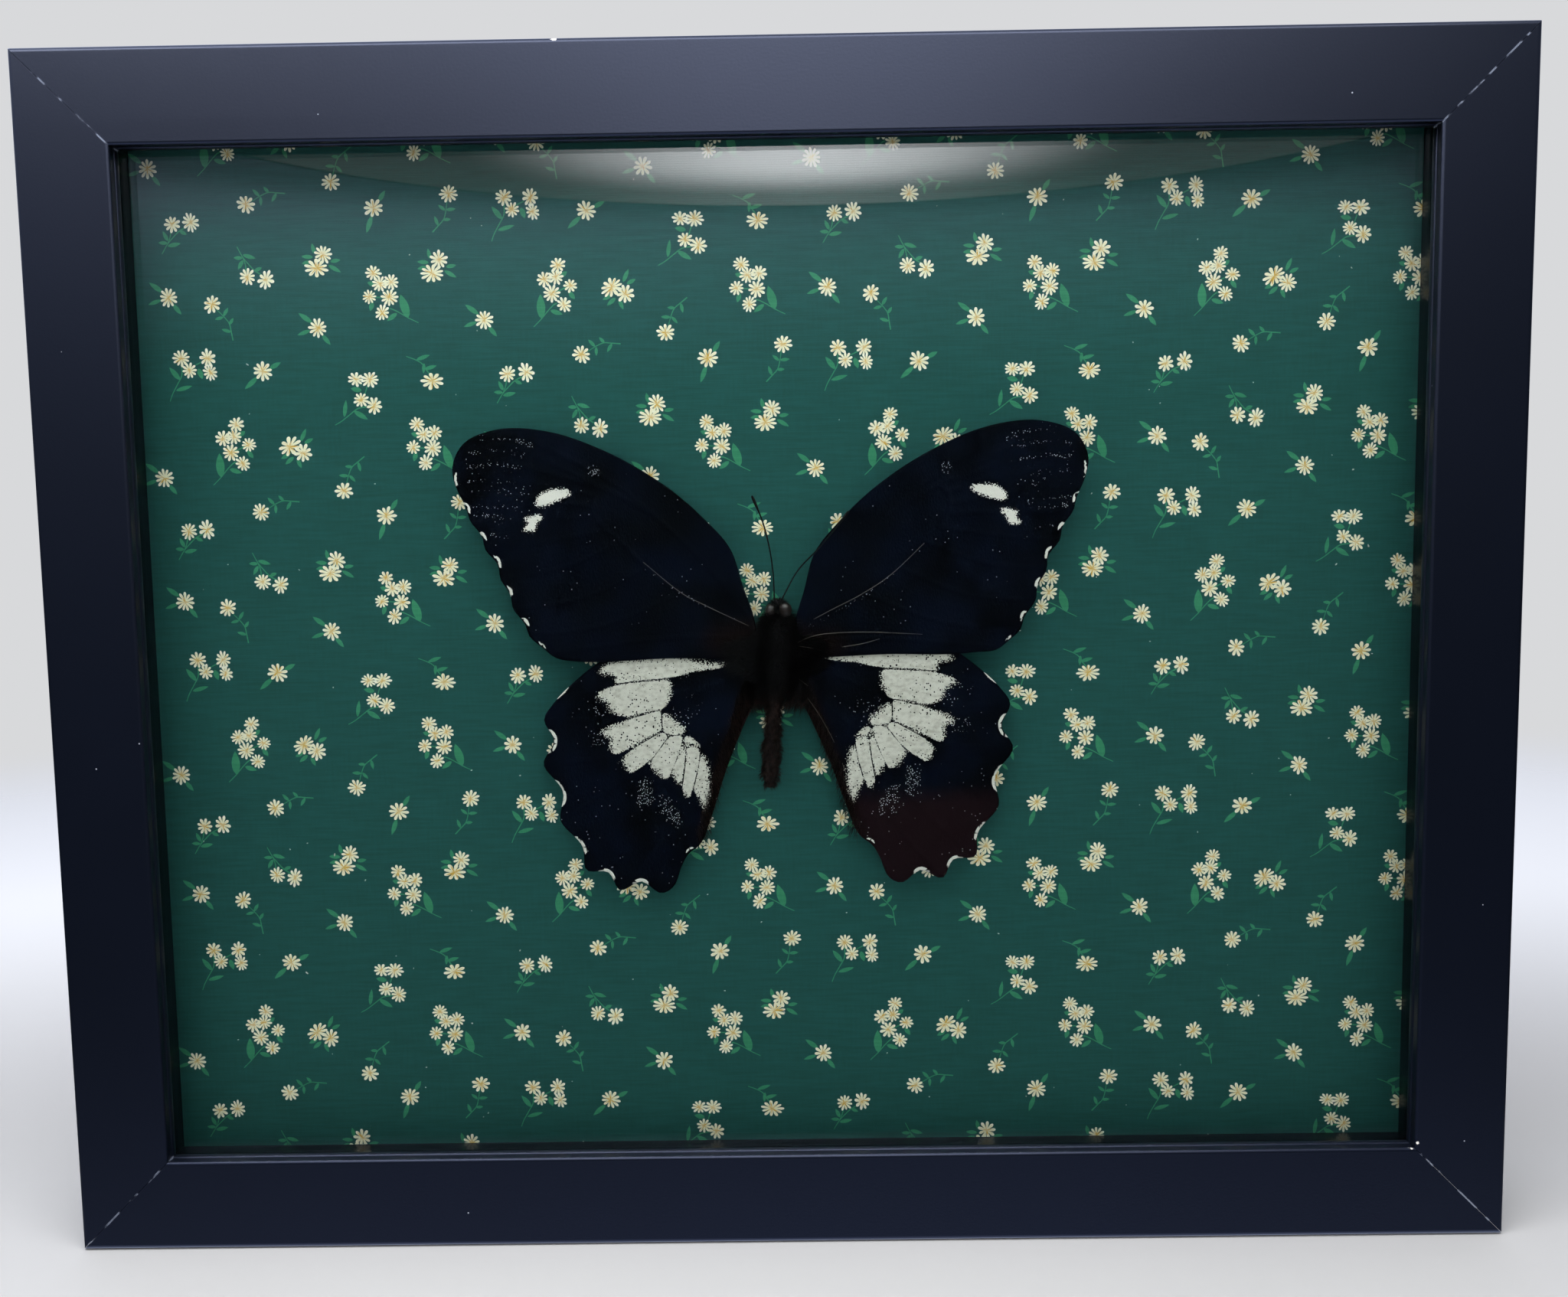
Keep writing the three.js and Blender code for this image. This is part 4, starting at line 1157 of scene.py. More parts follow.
def makeWing(name, wing):
    marks, step = wing["marks"], butterfly["grain"]
    low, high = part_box(name)
    middle = (low.y + high.y) / 2 / mm
    outline = np.array(anticlockwise([tuple(p) for p in ontoLeft(frontOutline(name), wing)]))
    outline[:, 1] += wing["lift"] * alongLowerEdge(outline)
    guides = [resampled(smoothLine(p, 3, closed=True), step, True) for p in marks["patches"] + marks["spots"]]
    guides = [g[depthInside(g, outline) > 0.15] for g in guides]
    inner = honeycomb(outline, step)
    for guide in guides:
        if len(guide):
            inner = inner[distanceTo(inner, guide, closed=True) > step * 0.45]
    flat = np.concatenate([outline, inner, *guides])
    made = delaunay_2d_cdt([Vector(p) for p in flat], [], [list(range(len(outline)))], 1, 1e-4, True)
    places = np.array([tuple(p) for p in made[0]])
    faces = [list(face) for face, owner in zip(made[2], made[5]) if owner]

    fields = wingFields(places, marks)
    redTop, redFull = butterfly["redTop"]
    fields["redZone"] = wing["red"] * np.clip((redTop - places[:, 1]) / (redTop - redFull), 0, 1)
    lift = wingRelief(places, fields["veinOff"])
    final = fromLeft(places, wing)
    half = butterfly["thickness"] / 2
    count = len(final)
    front = np.stack([final[:, 0], middle - lift - half, final[:, 1]], 1)
    back = np.stack([final[:, 0], middle - lift + half, final[:, 1]], 1)
    a, b, c = (front[v] for v in faces[0])
    if np.cross(b - a, c - a)[1] > 0:
        faces = [face[::-1] for face in faces]
    edges = {(p, q) for face in faces for p, q in zip(face, face[1:] + face[:1])}
    rim = [[q, p, p + count, q + count] for p, q in edges if (q, p) not in edges]
    solidFaces = faces + [[v + count for v in face[::-1]] for face in faces] + rim
    piece = newPiece(
        "scaled_" + name, np.concatenate([front, back]), solidFaces, [finish["wing"]], [name]
    )
    for key, values in fields.items():
        layer = piece.data.attributes.new(key, "FLOAT", "POINT")
        layer.data.foreach_set("value", np.tile(values, 2).astype(np.float32))
    piece.data.polygons.foreach_set("use_smooth", [True] * len(solidFaces))
    print("wing made:", name, len(solidFaces), "faces")


for name, wing in wings.items():
    makeWing(name, wing)


body = {
    "middle": (-1.0, -5.3, 118.0),
    "lean": 3.6,  # degrees
    "voxel": 0.2,
    # ellipsoids: centre and half sizes, in mm from the body's middle
    "thorax": [
        ((0, 0, 0.4), (3.1, 2.6, 7.6)), ((0, -0.4, 3.0), (2.9, 2.4, 4.6)), ((0, 0.2, -4.0), (2.6, 2.2, 4.0)),
    ],
    "head": [((0, 0, 7.8), (2.2, 2.0, 2.2)), ((0.0, -0.2, 9.0), (1.6, 1.4, 1.2))],
    "eyes": [((-1.4, -1.0, 7.9), (1.15, 1.2, 1.4)), ((1.35, -1.2, 8.2), (1.35, 1.35, 1.6))],
    "palps": [((-0.5, -0.9, 9.6), (0.42, 0.5, 0.9)), ((0.5, -0.9, 9.6), (0.42, 0.5, 0.9))],
    "abdomenTop": -4.5,
    "abdomenTip": -27.9,
    "abdomenRadius": 1.62,
    "abdomenBack": 0.5,  # its middle lies this far behind the body's
    "abdomenFlat": 0.85,  # depth as a share of its width
    "segments": 8,
    "pinch": 0.14,
}


def fromBody(point):
    turned = Matrix.Rotation(math.radians(body["lean"]), 3, "Y") @ Vector(point)
    return turned + Vector(body["middle"])


def deselectAll():
    bpy.ops.object.select_all(action="DESELECT")
    bpy.context.view_layer.objects.active = None


def joinAll(objects, name):
    deselectAll()
    for item in objects:
        item.select_set(True)
    bpy.context.view_layer.objects.active = objects[0]
    bpy.ops.object.join()
    joined = bpy.context.view_layer.objects.active
    joined.name = name
    joined.data.name = name
    return joined


def applyPlace(piece):
    deselectAll()
    piece.select_set(True)
    bpy.context.view_layer.objects.active = piece
    bpy.ops.object.transform_apply(location=True, rotation=True, scale=True)


def addBall(centre, halves, rings=16):
    deselectAll()
    place = fromBody(centre)
    bpy.ops.mesh.primitive_uv_sphere_add(
        segments=2 * rings,
        ring_count=rings,
        radius=mm,
        location=place * mm,
        rotation=(0, math.radians(body["lean"]), 0),
        scale=halves,
    )
    ball = bpy.context.active_object
    applyPlace(ball)
    return ball


# Dried out, it is an uneven tube: pinched where the rings meet and sunk in between
def abdomenRadiusAt(share, angle):
    tip = math.sqrt(max(0.0, 1 - max(0.0, (share - 0.88) / 0.12) ** 2))
    pinch = 1 - body["pinch"] * abs(math.sin(math.pi * share * body["segments"])) ** 8
    sunk = 0.06 * math.sin(2 * angle + 11 * share) + 0.05 * math.sin(3 * angle - 23 * share)
    swell = 1 + 0.07 * math.sin(10.5 * share + 0.6) + sunk
    return body["abdomenRadius"] * swell * tip * pinch


def onAbdomen(share, angle, radius):
    top, tip = body["abdomenTop"], body["abdomenTip"]
    across, out = radius * math.cos(angle), radius * math.sin(angle)
    return fromBody((across, body["abdomenBack"] + body["abdomenFlat"] * out, top + (tip - top) * share))


def addAbdomen():
    steps, sides = 96, 32
    points, faces = [], []
    for i in range(steps + 1):
        for k in range(sides):
            angle = 2 * math.pi * k / sides
            points.append(onAbdomen(i / steps, angle, max(abdomenRadiusAt(i / steps, angle), 0.02)))
    for i in range(steps):
        for k in range(sides):
            n = (k + 1) % sides
            faces.append([i * sides + k, (i + 1) * sides + k, (i + 1) * sides + n, i * sides + n])
    faces.append(list(range(sides)))
    faces.append([steps * sides + k for k in reversed(range(sides))])
    mesh = bpy.data.meshes.new("abdomen")
    mesh.from_pydata([tuple(p * mm) for p in points], [], faces)
    abdomen = bpy.data.objects.new("abdomen", mesh)
    bpy.context.scene.collection.objects.link(abdomen)
    return abdomen


def makeBody():
    core = [addBall(*ball) for ball in body["thorax"] + body["head"] + body["palps"]]
    core.append(addAbdomen())
    whole = joinAll(core, "insect_body")
    remesh = whole.modifiers.new("grown together", "REMESH")
    remesh.mode = "VOXEL"
    remesh.voxel_size = body["voxel"] * mm
    bpy.ops.object.modifier_apply(modifier=remesh.name)
    smooth = whole.modifiers.new("skin", "SMOOTH")
    smooth.factor = 0.5
    smooth.iterations = 3
    bpy.ops.object.modifier_apply(modifier=smooth.name)
    whole.data.materials.clear()
    whole.data.materials.append(finish["fur"])
    eyes = joinAll([addBall(*ball, rings=20) for ball in body["eyes"]], "compound_eyes")
    eyes.data.materials.append(finish["eye"])
    for piece in (whole, eyes):
        piece.data.polygons.foreach_set("use_smooth", [True] * len(piece.data.polygons))
    settle(whole, ["butterfly_body"])
    settle(eyes)


coat = {
    # number of hairs, length, radius and sweep
    "thorax": (2200, 2.5, 0.05, (0, 0.1, -0.45)),
    "head": (700, 0.8, 0.035, (0, 0.1, 0.2)),
    "crown": (300, 0.7, 0.04, (0, -0.1, 0.4)),
    "abdomen": 3600,
    "wingRoot": 1500,
    "besideAbdomen": 1000,
    "innerEdge": 900,
    "radius": 0.045,
    "thin": 0.035,
    "rooted": 0.97,  # share of a body part's half size at which its hairs start
    "offGlass": 0.15,
    "innerPath": [(4.2, -6.5), (7.0, -14.0), (11.1, -26.0), (14.3, -37.0)],
    "quickShare": 0.35,
}


# Hairs: tapered three-sided filaments with one bend, all in one mesh
def makeHairs(name, roots, material):
    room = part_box("glass_pane")[1].y / mm + coat["offGlass"]
    points, faces = [], []
    for root, aim, length, radius, sag in roots:
        root, aim = np.array(root, float), np.array(aim, float)
        aim /= np.linalg.norm(aim)
        side = np.cross(aim, (0.3, 0.2, 1.0) if abs(aim[2]) < 0.9 else (1.0, 0, 0))
        side /= np.linalg.norm(side)
        other = np.cross(aim, side)
        knee = root + aim * length * 0.55
        tip = root + aim * length + np.array(sag, float) * length
        knee[1], tip[1] = max(knee[1], room), max(tip[1], room)  # they lie flat where they reach the glass
        first = len(points)
        for centre, width in ((root, radius), (knee, radius * 0.7)):
            for k in range(3):
                angle = 2 * math.pi * k / 3
                points.append(centre + width * (side * math.cos(angle) + other * math.sin(angle)))
        points.append(tip)
        for k in range(3):
            n = (k + 1) % 3
            faces.append([first + k, first + n, first + 3 + n, first + 3 + k])
            faces.append([first + 3 + k, first + 3 + n, first + 6])
        faces.append([first + 2, first + 1, first])
    newPiece(name, points, faces, [material])


def ballRoots(draw, centre, halves, count, length, radius, sweep):
    found = []
    while len(found) < count:
        aim = np.array([draw.gauss(0, 1) for _ in range(3)])
        aim /= np.linalg.norm(aim)
        if aim[1] > 0.35:  # nothing behind, where the body rests on the glue
            continue
        normal = aim / np.array(halves)
        normal /= np.linalg.norm(normal)
        root = fromBody(np.array(centre) + aim * np.array(halves) * coat["rooted"])
        bent = normal + np.array(sweep) + np.array([draw.gauss(0, 0.18) for _ in range(3)])
        long = length * draw.uniform(0.6, 1.25)
        width, droop = radius * draw.uniform(0.8, 1.2), draw.uniform(-0.25, 0.0)
        found.append((root, bent, long, width, (0, 0.15, droop)))
    return found


def abdomenRoots(draw, count):
    found = []
    for _ in range(count):
        share = draw.uniform(0.02, 0.99)
        angle = draw.uniform(-math.pi - 0.35, 0.35)
        root = onAbdomen(share, angle, coat["rooted"] * abdomenRadiusAt(share, angle))
        tuft = 0.7 + 0.5 * math.sin(31 * share + 4 * angle)
        aim = (math.cos(angle), math.sin(angle), -1.0 + draw.gauss(0, 0.4))
        found.append((root, aim, tuft * draw.uniform(0.5, 1.3), coat["radius"], (0, 0.1, -0.1)))
    return found


# Long hairs over the wing roots, in the gap beside the abdomen and along the hindwings' inner edges
def wingRoots(draw):
    found = []
    path = smoothLine(coat["innerPath"], 12)
    for side in (-1, 1):
        for _ in range(coat["wingRoot"]):
            out = 1.0 + 8.5 * draw.random() ** 1.3
            up = draw.uniform(-7.5, 4.6) * (1 - out / 16)
            root = (butterfly["axis"] + side * out, -6.35 - 0.2 * draw.random(), butterfly["thorax"] + up)
            aim = (side * draw.uniform(0.4, 1.2), -draw.uniform(0.02, 0.3), draw.gauss(-0.25, 0.4))
            found.append((root, aim, draw.uniform(1.2, 3.2), coat["radius"], (0, 0.1, 0)))
        for _ in range(coat["besideAbdomen"]):
            out, up = draw.uniform(2.2, 6.4), draw.uniform(-10.5, -4.0)
            root = (butterfly["axis"] + side * out, -5.6 - 0.3 * draw.random(), butterfly["thorax"] + up)
            aim = (-side * draw.uniform(0.0, 0.8), -0.1, -draw.uniform(0.6, 1.2))
            found.append((root, aim, draw.uniform(1.6, 3.4), coat["radius"], (0, 0.1, 0)))
        for _ in range(coat["innerEdge"]):
            spot = path[draw.randrange(len(path))]
            out, up = spot[0] + draw.uniform(0.1, 2.4), spot[1] + draw.gauss(0, 0.6)
            up += wings["hindwing_right"]["rise"] if side > 0 else 0
            root = (butterfly["axis"] + side * out, -5.55, butterfly["thorax"] + up)
            aim = (side * draw.uniform(-0.6, 0.1), -0.12, -1.0)
            found.append((root, aim, draw.uniform(1.0, 2.6), coat["thin"], (0, 0.1, 0)))
    return found


def makeFur():
    draw = random.Random(5)
    few = 1.0
    balls = [(ball, coat["thorax"]) for ball in body["thorax"]]
    balls += [(body["head"][0], coat["head"]), (body["head"][1], coat["crown"])]
    roots = []
    for ball, (count, *look) in balls:
        roots += ballRoots(draw, *ball, int(count * few), *look)
    roots += abdomenRoots(draw, int(coat["abdomen"] * few))
    roots += wingRoots(draw)
    makeHairs("body_hairs", roots, finish["fur"])
    print("fur made,", len(roots), "hairs")


# A round bar along a line, with a radius at each point
def makeBar(name, line, radii, sides, material, replaced=()):
    points, faces = [], []
    for i, p in enumerate(line):
        ahead = line[min(i + 1, len(line) - 1)] - line[max(i - 1, 0)]
        ahead /= np.linalg.norm(ahead)
        side = np.cross(ahead, (0, 1, 0))
        side /= np.linalg.norm(side)
        other = np.cross(ahead, side)
        for k in range(sides):
            angle = 2 * math.pi * k / sides
            points.append(p + radii[i] * (side * math.cos(angle) + other * math.sin(angle)))
    for i in range(len(line) - 1):
        for k in range(sides):
            n = (k + 1) % sides
            faces.append([i * sides + k, i * sides + n, (i + 1) * sides + n, (i + 1) * sides + k])
    faces.append([k for k in reversed(range(sides))])
    faces.append([(len(line) - 1) * sides + k for k in range(sides)])
    piece = newPiece(name, points, faces, [material], replaced)
    piece.data.polygons.foreach_set("use_smooth", [True] * len(piece.data.polygons))
    return piece


antenna = {
    "joints": 34,
    "shaft": 0.15,
    "club": 0.3,
    "clubStart": (0.82, 0.92),  # share of the length over which the shaft swells to the club
    "clubEnd": 0.95,  # beyond this one it rounds off
    "ring": 0.16,
    "lines": {
        "antenna_left": [
            (-1.2, -6.2, 127.2), (-1.4, -6.3, 133.7), (-2.2, -6.6, 139.3), (-3.4, -6.7, 143.9),
            (-5.3, -6.6, 148.7),
        ],
        "antenna_right": [
            (-0.2, -6.2, 127.4), (3.4, -6.3, 133.7), (7.4, -6.6, 137.9), (10.5, -6.7, 141.4),
            (13.7, -6.6, 145.4),
        ],
    },
}


def antennaRadiusAt(share):
    start, full = antenna["clubStart"]
    swell = max(0.0, min(1.0, (share - start) / (full - start)))
    past = max(0.0, (share - antenna["clubEnd"]) / (1 - antenna["clubEnd"]))
    club = swell * math.sqrt(max(0.0, 1 - past**2))
    return antenna["shaft"] + (antenna["club"] - antenna["shaft"]) * club


def makeAntennae():
    for name, points in antenna["lines"].items():
        line = smoothLine(points, antenna["joints"])
        radii = []
        for i in range(len(line)):
            ring = 1 - antenna["ring"] * (i % 4 == 0)
            radii.append(max(0.02, antennaRadiusAt(i / (len(line) - 1)) * ring))
        radii[-1] = 0.04
        makeBar("ringed_" + name, line, radii, 8, finish["antenna"], [name])


# Bare veins at the wing roots, where the scales have rubbed away
baseVeins = {
    "radius": 0.06,
    "lines": [
        [(-6.4, -6.45, 123.1), (-8.5, -6.4, 124.1), (-15.0, -6.4, 127.3), (-20.0, -6.4, 130.1),
         (-27.0, -6.4, 136.0)],
        [(6.5, -6.45, 124.2), (10.0, -6.4, 126.0), (16.0, -6.4, 129.0), (22.0, -6.4, 132.9),
         (29.0, -6.4, 139.4)],
        [(3.2, -6.6, 119.6), (5.5, -6.6, 120.6), (9.0, -6.45, 121.3), (17.0, -6.4, 121.5),
         (28.0, -6.4, 120.9)],
        [(3.3, -6.6, 118.9), (6.0, -6.6, 118.5), (9.2, -6.4, 117.6)],
        [(12.0, -6.4, 118.6), (16.0, -6.4, 119.2), (19.5, -6.4, 120.1)],
        [(2.2, -6.2, 113.0), (3.6, -6.3, 112.2), (5.2, -6.0, 110.9)],
        [(5.0, -5.7, 108.6), (7.5, -5.6, 104.8), (10.5, -5.5, 99.0), (12.6, -5.5, 93.0)],
    ],
}


def makeBaseVeins():
    bars = []
    for i, points in enumerate(baseVeins["lines"]):
        line = smoothLine(points, 8)
        ends = len(line) - 1
        swell = [math.sin(math.pi * k / ends) ** 0.5 for k in range(len(line))]
        radii = [baseVeins["radius"] * (0.5 + 0.5 * s) for s in swell]
        bars.append(makeBar(f"bare_vein_{i + 1}", line, radii, 6, finish["vein"]))
    settle(joinAll(bars, "bare_veins"))


glue = {
    "fill": 0.98,  # share of the CAD dab's size
    "waves": 4,
    "wave": 0.04,
    "inset": 0.08,
}


def makeGlue():
    low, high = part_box("glue_dab")
    centre, size = (low + high) / 2, high - low
    deselectAll()
    bpy.ops.mesh.primitive_uv_sphere_add(
        segments=40, ring_count=24, radius=0.5, location=centre, scale=size * glue["fill"]
    )
    dab = bpy.context.active_object
    dab.name = "glue_blob"
    applyPlace(dab)
    draw = random.Random(3)
    waves = [(draw.uniform(1, 4), draw.uniform(0, 6.28)) for _ in range(glue["waves"])]
    for v in dab.data.vertices:
        out = Vector((v.co.x - centre.x, 0, v.co.z - centre.z))
        angle = math.atan2(out.z, out.x)
        wave = sum(math.sin(round(n) * angle + p) for n, p in waves)
        v.co += out * glue["wave"] * wave - out * glue["inset"]
    dab.data.materials.append(finish["glue"])
    dab.data.polygons.foreach_set("use_smooth", [True] * len(dab.data.polygons))
    settle(dab, ["glue_dab"])


# Specks of lint on the cloth: x, depth behind the frame's front, z and size, all in mm
lint = {
    "placed": [
        (97.5, 13.9, 44.6, 0.42), (114.6, 13.9, 152.2, 0.35), (-92.6, 13.9, 76.8, 0.4),
        (-86.5, 13.9, 71.4, 0.3), (-99.5, 13.9, 52.0, 0.35), (-65.5, 13.9, 40.8, 0.3),
        (118.0, 13.9, 137.0, 0.35),
    ],
    "strewn": 110,
    "across": (-121, 121),
    "depth": 13.92,
    "up": (20, 212),
    "size": (0.12, 0.3),
    "sides": 6,
}


def makeLint():
    draw = random.Random(21)
    spots = list(lint["placed"])
    for _ in range(lint["strewn"]):
        x, z = draw.uniform(*lint["across"]), draw.uniform(*lint["up"])
        spots.append((x, lint["depth"], z, draw.uniform(*lint["size"])))
    points, faces = [], []
    sides = lint["sides"]
    for x, depth, z, size in spots:
        first, y = len(points), wrap["frontFace"] + depth
        turn, stretch = draw.uniform(0, math.pi), draw.uniform(1.0, 2.2)
        for k in range(sides):
            angle = 2 * math.pi * k / sides
            far = size / 2 * draw.uniform(0.7, 1.2)
            across, up = turned(x, z, far * math.cos(angle) * stretch, far * math.sin(angle), turn)
            points.append((across, y, up))
        points += [(x, y - size * 0.4, z), (x, y + 0.05, z)]
        for k in range(sides):
            n = (k + 1) % sides
            faces.append([first + k, first + n, first + sides])
            faces.append([first + n, first + k, first + sides + 1])
    newPiece("lint_specks", points, faces, [finish["dust"]])


makeBody()
makeFur()
makeAntennae()
makeBaseVeins()
makeGlue()
makeLint()
print("butterfly made")


# Lengths here are in metres
studio = {
    "floor": ("#acaba9", "#a9a8a6"),
    "floorCloud": 0.06,
    "floorPaintedPaler": "#f2f2f2",  # painted light: the card is painted paler behind the frame to make up for the shade there, where less light falls on it
    "behind": (0.01, 0.26),
    "floorDrop": 0.0002,
    "floorNear": 0.25,  # the floor is solid within this distance
    "floorFar": 0.85,  # and has melted into the backdrop at this one
    "backdrop": "#d8d9db",
    "light": "#fafbff",
    "boxPlace": (0.015, -0.337, 0.36),
    "boxHalf": (0.38, 0.28),
    "boxStrength": 6.4,
    "boxCore": 0.01,  # it is brightest along this line and fades to both sides
    "boxSpread": 0.2,
    "boxRest": 0.05,  # what is left of the light beyond
    "stripPlace": (-0.05, -0.15, 0.36),
    "stripSize": (0.5, 0.13),
    "stripStrength": 11.8,
    "stripEnds": (1.15, 0.75),  # share of the strength at the left and the right end
    "room": "#eef0f4",
    "fill": 1.05,
    "backFill": 1.0,
    "gloss": "#bcc7e6",
    "sheen": 1.9,
    "sheenEnds": (1.2, 0.4),
    "ceiling": (0.1, 0.42),  # how steeply up the dark room turns into the bright ceiling
    "ceilingGap": (0.235, 0.262, 0.3, 0.36),  # a darker band in it, beside the softbox
    "gapDepth": 0.65,
    "backSheen": 0.8,
    "underSheen": 1.8,
}


def layFloor():
    deselectAll()
    bpy.ops.mesh.primitive_circle_add(
        vertices=96, radius=studio["floorFar"], fill_type="NGON", location=(0, 0, -studio["floorDrop"])
    )
    floor = bpy.context.active_object
    floor.name = "floor"
    applyPlace(floor)
    # matt pale card that melts into the backdrop
    material, tree, shader = newMaterial("studio_floor", {"Roughness": 0.8, "IOR": 1.4})
    place = placeInMm(tree)
    cloud = addNode(tree, "TexNoise", {"Vector": place, "Scale": mm / studio["floorCloud"], "Detail": 3.0})
    first, second = studio["floor"]
    card = addNode(tree, "Mix", {0: cloud, 6: paint(first), 7: paint(second)}, **colours)
    start, end = (v / mm for v in studio["behind"])
    depth = addNode(tree, "SeparateXYZ", {0: place}).outputs[1]
    behind = addNode(tree, "MapRange", {"Value": depth, "From Min": start, "From Max": end}, **eased)
    # painted light: the card turns paler behind the frame, evening out the shade that falls there
    card = addNode(tree, "Mix", {0: behind, 6: card, 7: paint(studio["floorPaintedPaler"])}, **colours)
    away = addNode(tree, "VectorMath", {0: place}, operation="LENGTH")
    rim = {"From Min": studio["floorFar"] / mm, "From Max": studio["floorNear"] / mm}
    solid = addNode(tree, "MapRange", {"Value": away, **rim}, **eased)
    feed(tree, shader, {"Base Color": card, "Alpha": solid})
    floor.data.materials.append(material)
    floor.visible_glossy = False  # the glass shows a dark room, not the floor
    floor.visible_transmission = False


# A light panel that shines downwards only
def lightPanel(panel, glow):
    applyPlace(panel)
    material = bpy.data.materials.new(panel.name + "_light")
    material.use_nodes = True
    tree = material.node_tree
    tree.nodes.clear()
    rear = addNode(tree, "NewGeometry").outputs["Backfacing"]
    front = addNode(tree, "Math", {0: 1.0, 1: rear}, operation="SUBTRACT")
    power = addNode(tree, "Math", {0: glow(tree), 1: front}, operation="MULTIPLY")
    light = addNode(tree, "Emission", {"Color": paint(studio["light"]), "Strength": power})
    addNode(tree, "OutputMaterial", {"Surface": light})
    panel.data.materials.append(material)
    panel.visible_camera = False
    panel.visible_shadow = False


# Bright in the middle of the oval, dimmer towards its rim, and fading off to both sides of the core
def ovalGlow(tree):
    place = addNode(tree, "TexCoord").outputs["Object"]
    share = addNode(tree, "VectorMath", {0: place, 1: studio["boxPlace"]}, operation="SUBTRACT")
    share = addNode(tree, "VectorMath", {0: share, 1: (*studio["boxHalf"], 1.0)}, operation="DIVIDE")
    away = addNode(tree, "VectorMath", {0: share}, operation="LENGTH")
    bright = {"Value": away, "From Min": 0.92, "From Max": 0.66, "To Min": 0.12}
    bright = addNode(tree, "MapRange", bright, **eased)
    middle = addNode(tree, "MapRange", {"Value": away, "From Min": 0.3, "From Max": 0.6, "To Min": 0.65})
    bright = addNode(tree, "Math", {0: bright, 1: middle}, operation="MULTIPLY")
    across = addNode(tree, "SeparateXYZ", {0: place}).outputs[0]
    across = addNode(tree, "Math", {0: across, 1: studio["boxCore"]}, operation="SUBTRACT")
    across = addNode(tree, "Math", {0: across}, operation="ABSOLUTE")
    core = {"Value": across, "From Max": studio["boxSpread"], "To Min": 1.0, "To Max": 0.0}
    core = addNode(tree, "MapRange", core, **eased)
    glow = addNode(tree, "Math", {0: bright, 1: core, 2: studio["boxRest"]}, operation="MULTIPLY_ADD")
    rim = addNode(tree, "MapRange", {"Value": away, "From Min": 1.0, "From Max": 0.985}, **eased)
    glow = addNode(tree, "Math", {0: glow, 1: rim}, operation="MULTIPLY")
    return addNode(tree, "Math", {0: glow, 1: studio["boxStrength"]}, operation="MULTIPLY").outputs[0]


# Brighter towards the left end
def stripGlow(tree):
    place = addNode(tree, "TexCoord").outputs["Object"]
    across = addNode(tree, "SeparateXYZ", {0: place}).outputs[0]
    left, right = (studio["stripStrength"] * share for share in studio["stripEnds"])
    ends = {"From Min": -0.3, "From Max": 0.2, "To Min": left, "To Max": right}
    return addNode(tree, "MapRange", {"Value": across, **ends}).outputs[0]


# An oval softbox overhead in front, brightest in the middle, and a strip light nearer to the frame
def hangLights():
    faceDown = (math.pi, 0, 0)
    deselectAll()
    bpy.ops.mesh.primitive_circle_add(
        vertices=96, radius=1.0, fill_type="TRIFAN", location=studio["boxPlace"], rotation=faceDown
    )
    box = bpy.context.active_object
    box.name = "softbox"
    box.scale = (*studio["boxHalf"], 1)
    lightPanel(box, ovalGlow)
    deselectAll()
    bpy.ops.mesh.primitive_plane_add(size=1, location=studio["stripPlace"], rotation=faceDown)
    strip = bpy.context.active_object
    strip.name = "strip"
    strip.scale = (*studio["stripSize"], 1)
    lightPanel(strip, stripGlow)


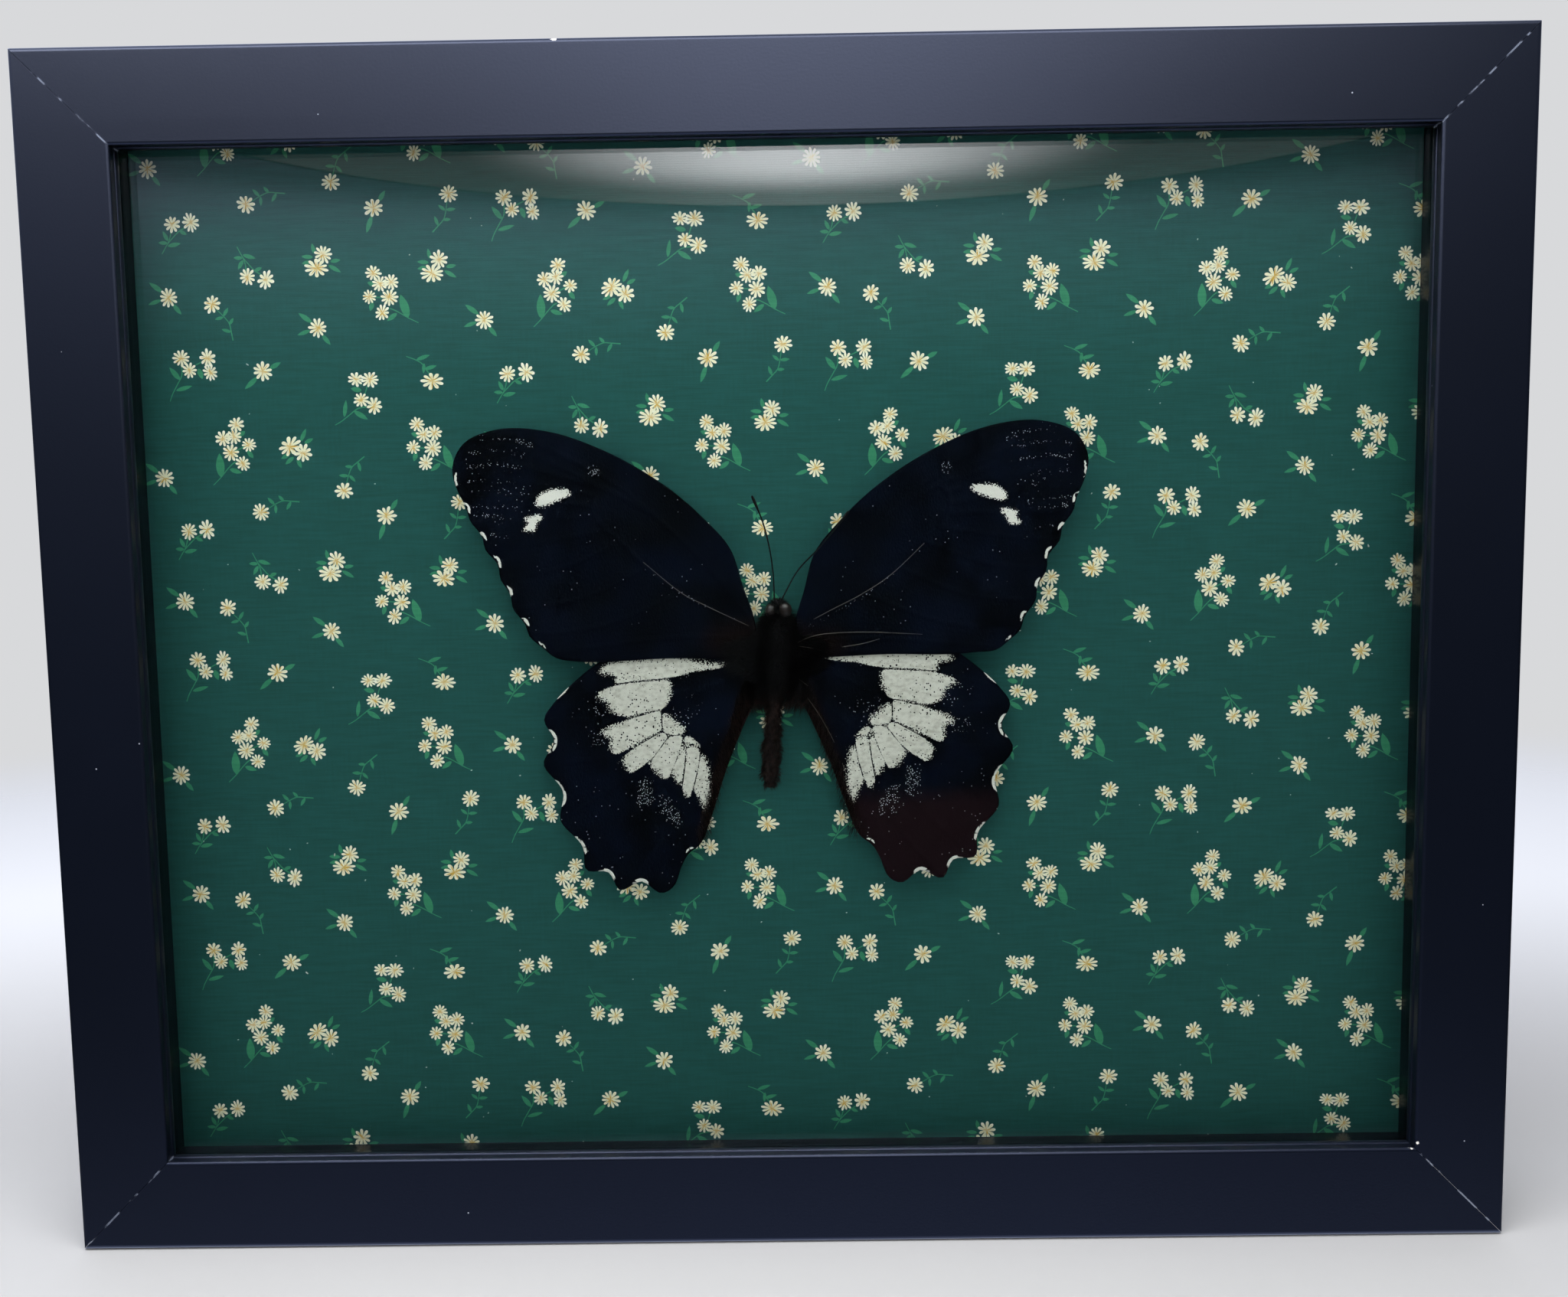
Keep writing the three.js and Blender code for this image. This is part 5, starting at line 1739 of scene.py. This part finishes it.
# The room: an even pale fill, and for gloss a dark room with a bright ceiling, brighter to the left
def lightRoom():
    world = bpy.data.worlds.new("studio")
    bpy.context.scene.world = world
    world.use_nodes = True
    tree = world.node_tree
    tree.nodes.clear()
    aim = addNode(tree, "TexCoord").outputs["Generated"]
    aim = addNode(tree, "SeparateXYZ", {0: aim})
    rightward, backward, upward = aim.outputs
    low, high = studio["ceiling"]
    overhead = addNode(tree, "MapRange", {"Value": upward, "From Min": low, "From Max": high}, **eased)
    gapBottom, gapLow, gapHigh, gapTop = studio["ceilingGap"]
    gapStart = {"Value": upward, "From Min": gapBottom, "From Max": gapLow}
    gapStart = addNode(tree, "MapRange", gapStart, **eased)
    gapEnd = addNode(tree, "MapRange", {"Value": upward, "From Min": gapTop, "From Max": gapHigh}, **eased)
    gap = addNode(tree, "Math", {0: gapStart, 1: gapEnd}, operation="MULTIPLY")
    beyondGap = addNode(tree, "Math", {0: gap, 1: -studio["gapDepth"], 2: 1.0}, operation="MULTIPLY_ADD")
    overhead = addNode(tree, "Math", {0: overhead, 1: beyondGap}, operation="MULTIPLY")
    left, right = (studio["sheen"] * share for share in studio["sheenEnds"])
    ends = {"From Min": -0.6, "From Max": 0.5, "To Min": left, "To Max": right}
    leftward = addNode(tree, "MapRange", {"Value": rightward, **ends})
    ceiling = addNode(tree, "Math", {0: overhead, 1: leftward}, operation="MULTIPLY")
    under = addNode(tree, "MapRange", {"Value": upward, "From Min": -0.44, "From Max": -0.62}, **eased)
    gloss = addNode(tree, "Math", {0: under, 1: studio["underSheen"], 2: ceiling}, operation="MULTIPLY_ADD")
    rear = addNode(tree, "MapRange", {"Value": backward, "From Min": 0.2, "From Max": 0.8}, **eased)
    gloss = addNode(tree, "Math", {0: rear, 1: studio["backSheen"], 2: gloss}, operation="MULTIPLY_ADD")
    sheen = addNode(tree, "Background", {"Color": paint(studio["gloss"]), "Strength": gloss})
    ends = {"From Min": 0.05, "From Max": 0.6, "To Min": studio["fill"], "To Max": studio["backFill"]}
    strength = addNode(tree, "MapRange", {"Value": backward, **ends})
    fill = addNode(tree, "Background", {"Color": paint(studio["room"]), "Strength": strength})
    seen = addNode(tree, "Background", {"Color": paint(studio["backdrop"]), "Strength": 1.0})
    ray = addNode(tree, "LightPath")
    # light that has bounced off a matt surface sees the fill, and a mirror image sees the dark room
    scattered = addNode(tree, "Math", {0: ray.outputs["Diffuse Depth"], 1: 0.5}, operation="GREATER_THAN")
    lit = addNode(tree, "MixShader", {0: scattered, 1: sheen, 2: fill})
    both = addNode(tree, "MixShader", {0: ray.outputs["Is Camera Ray"], 1: lit, 2: seen})
    addNode(tree, "OutputWorld", {"Surface": both})


layFloor()
hangLights()
lightRoom()
bpy.context.scene.view_settings.view_transform = "Standard"
print("studio lit")
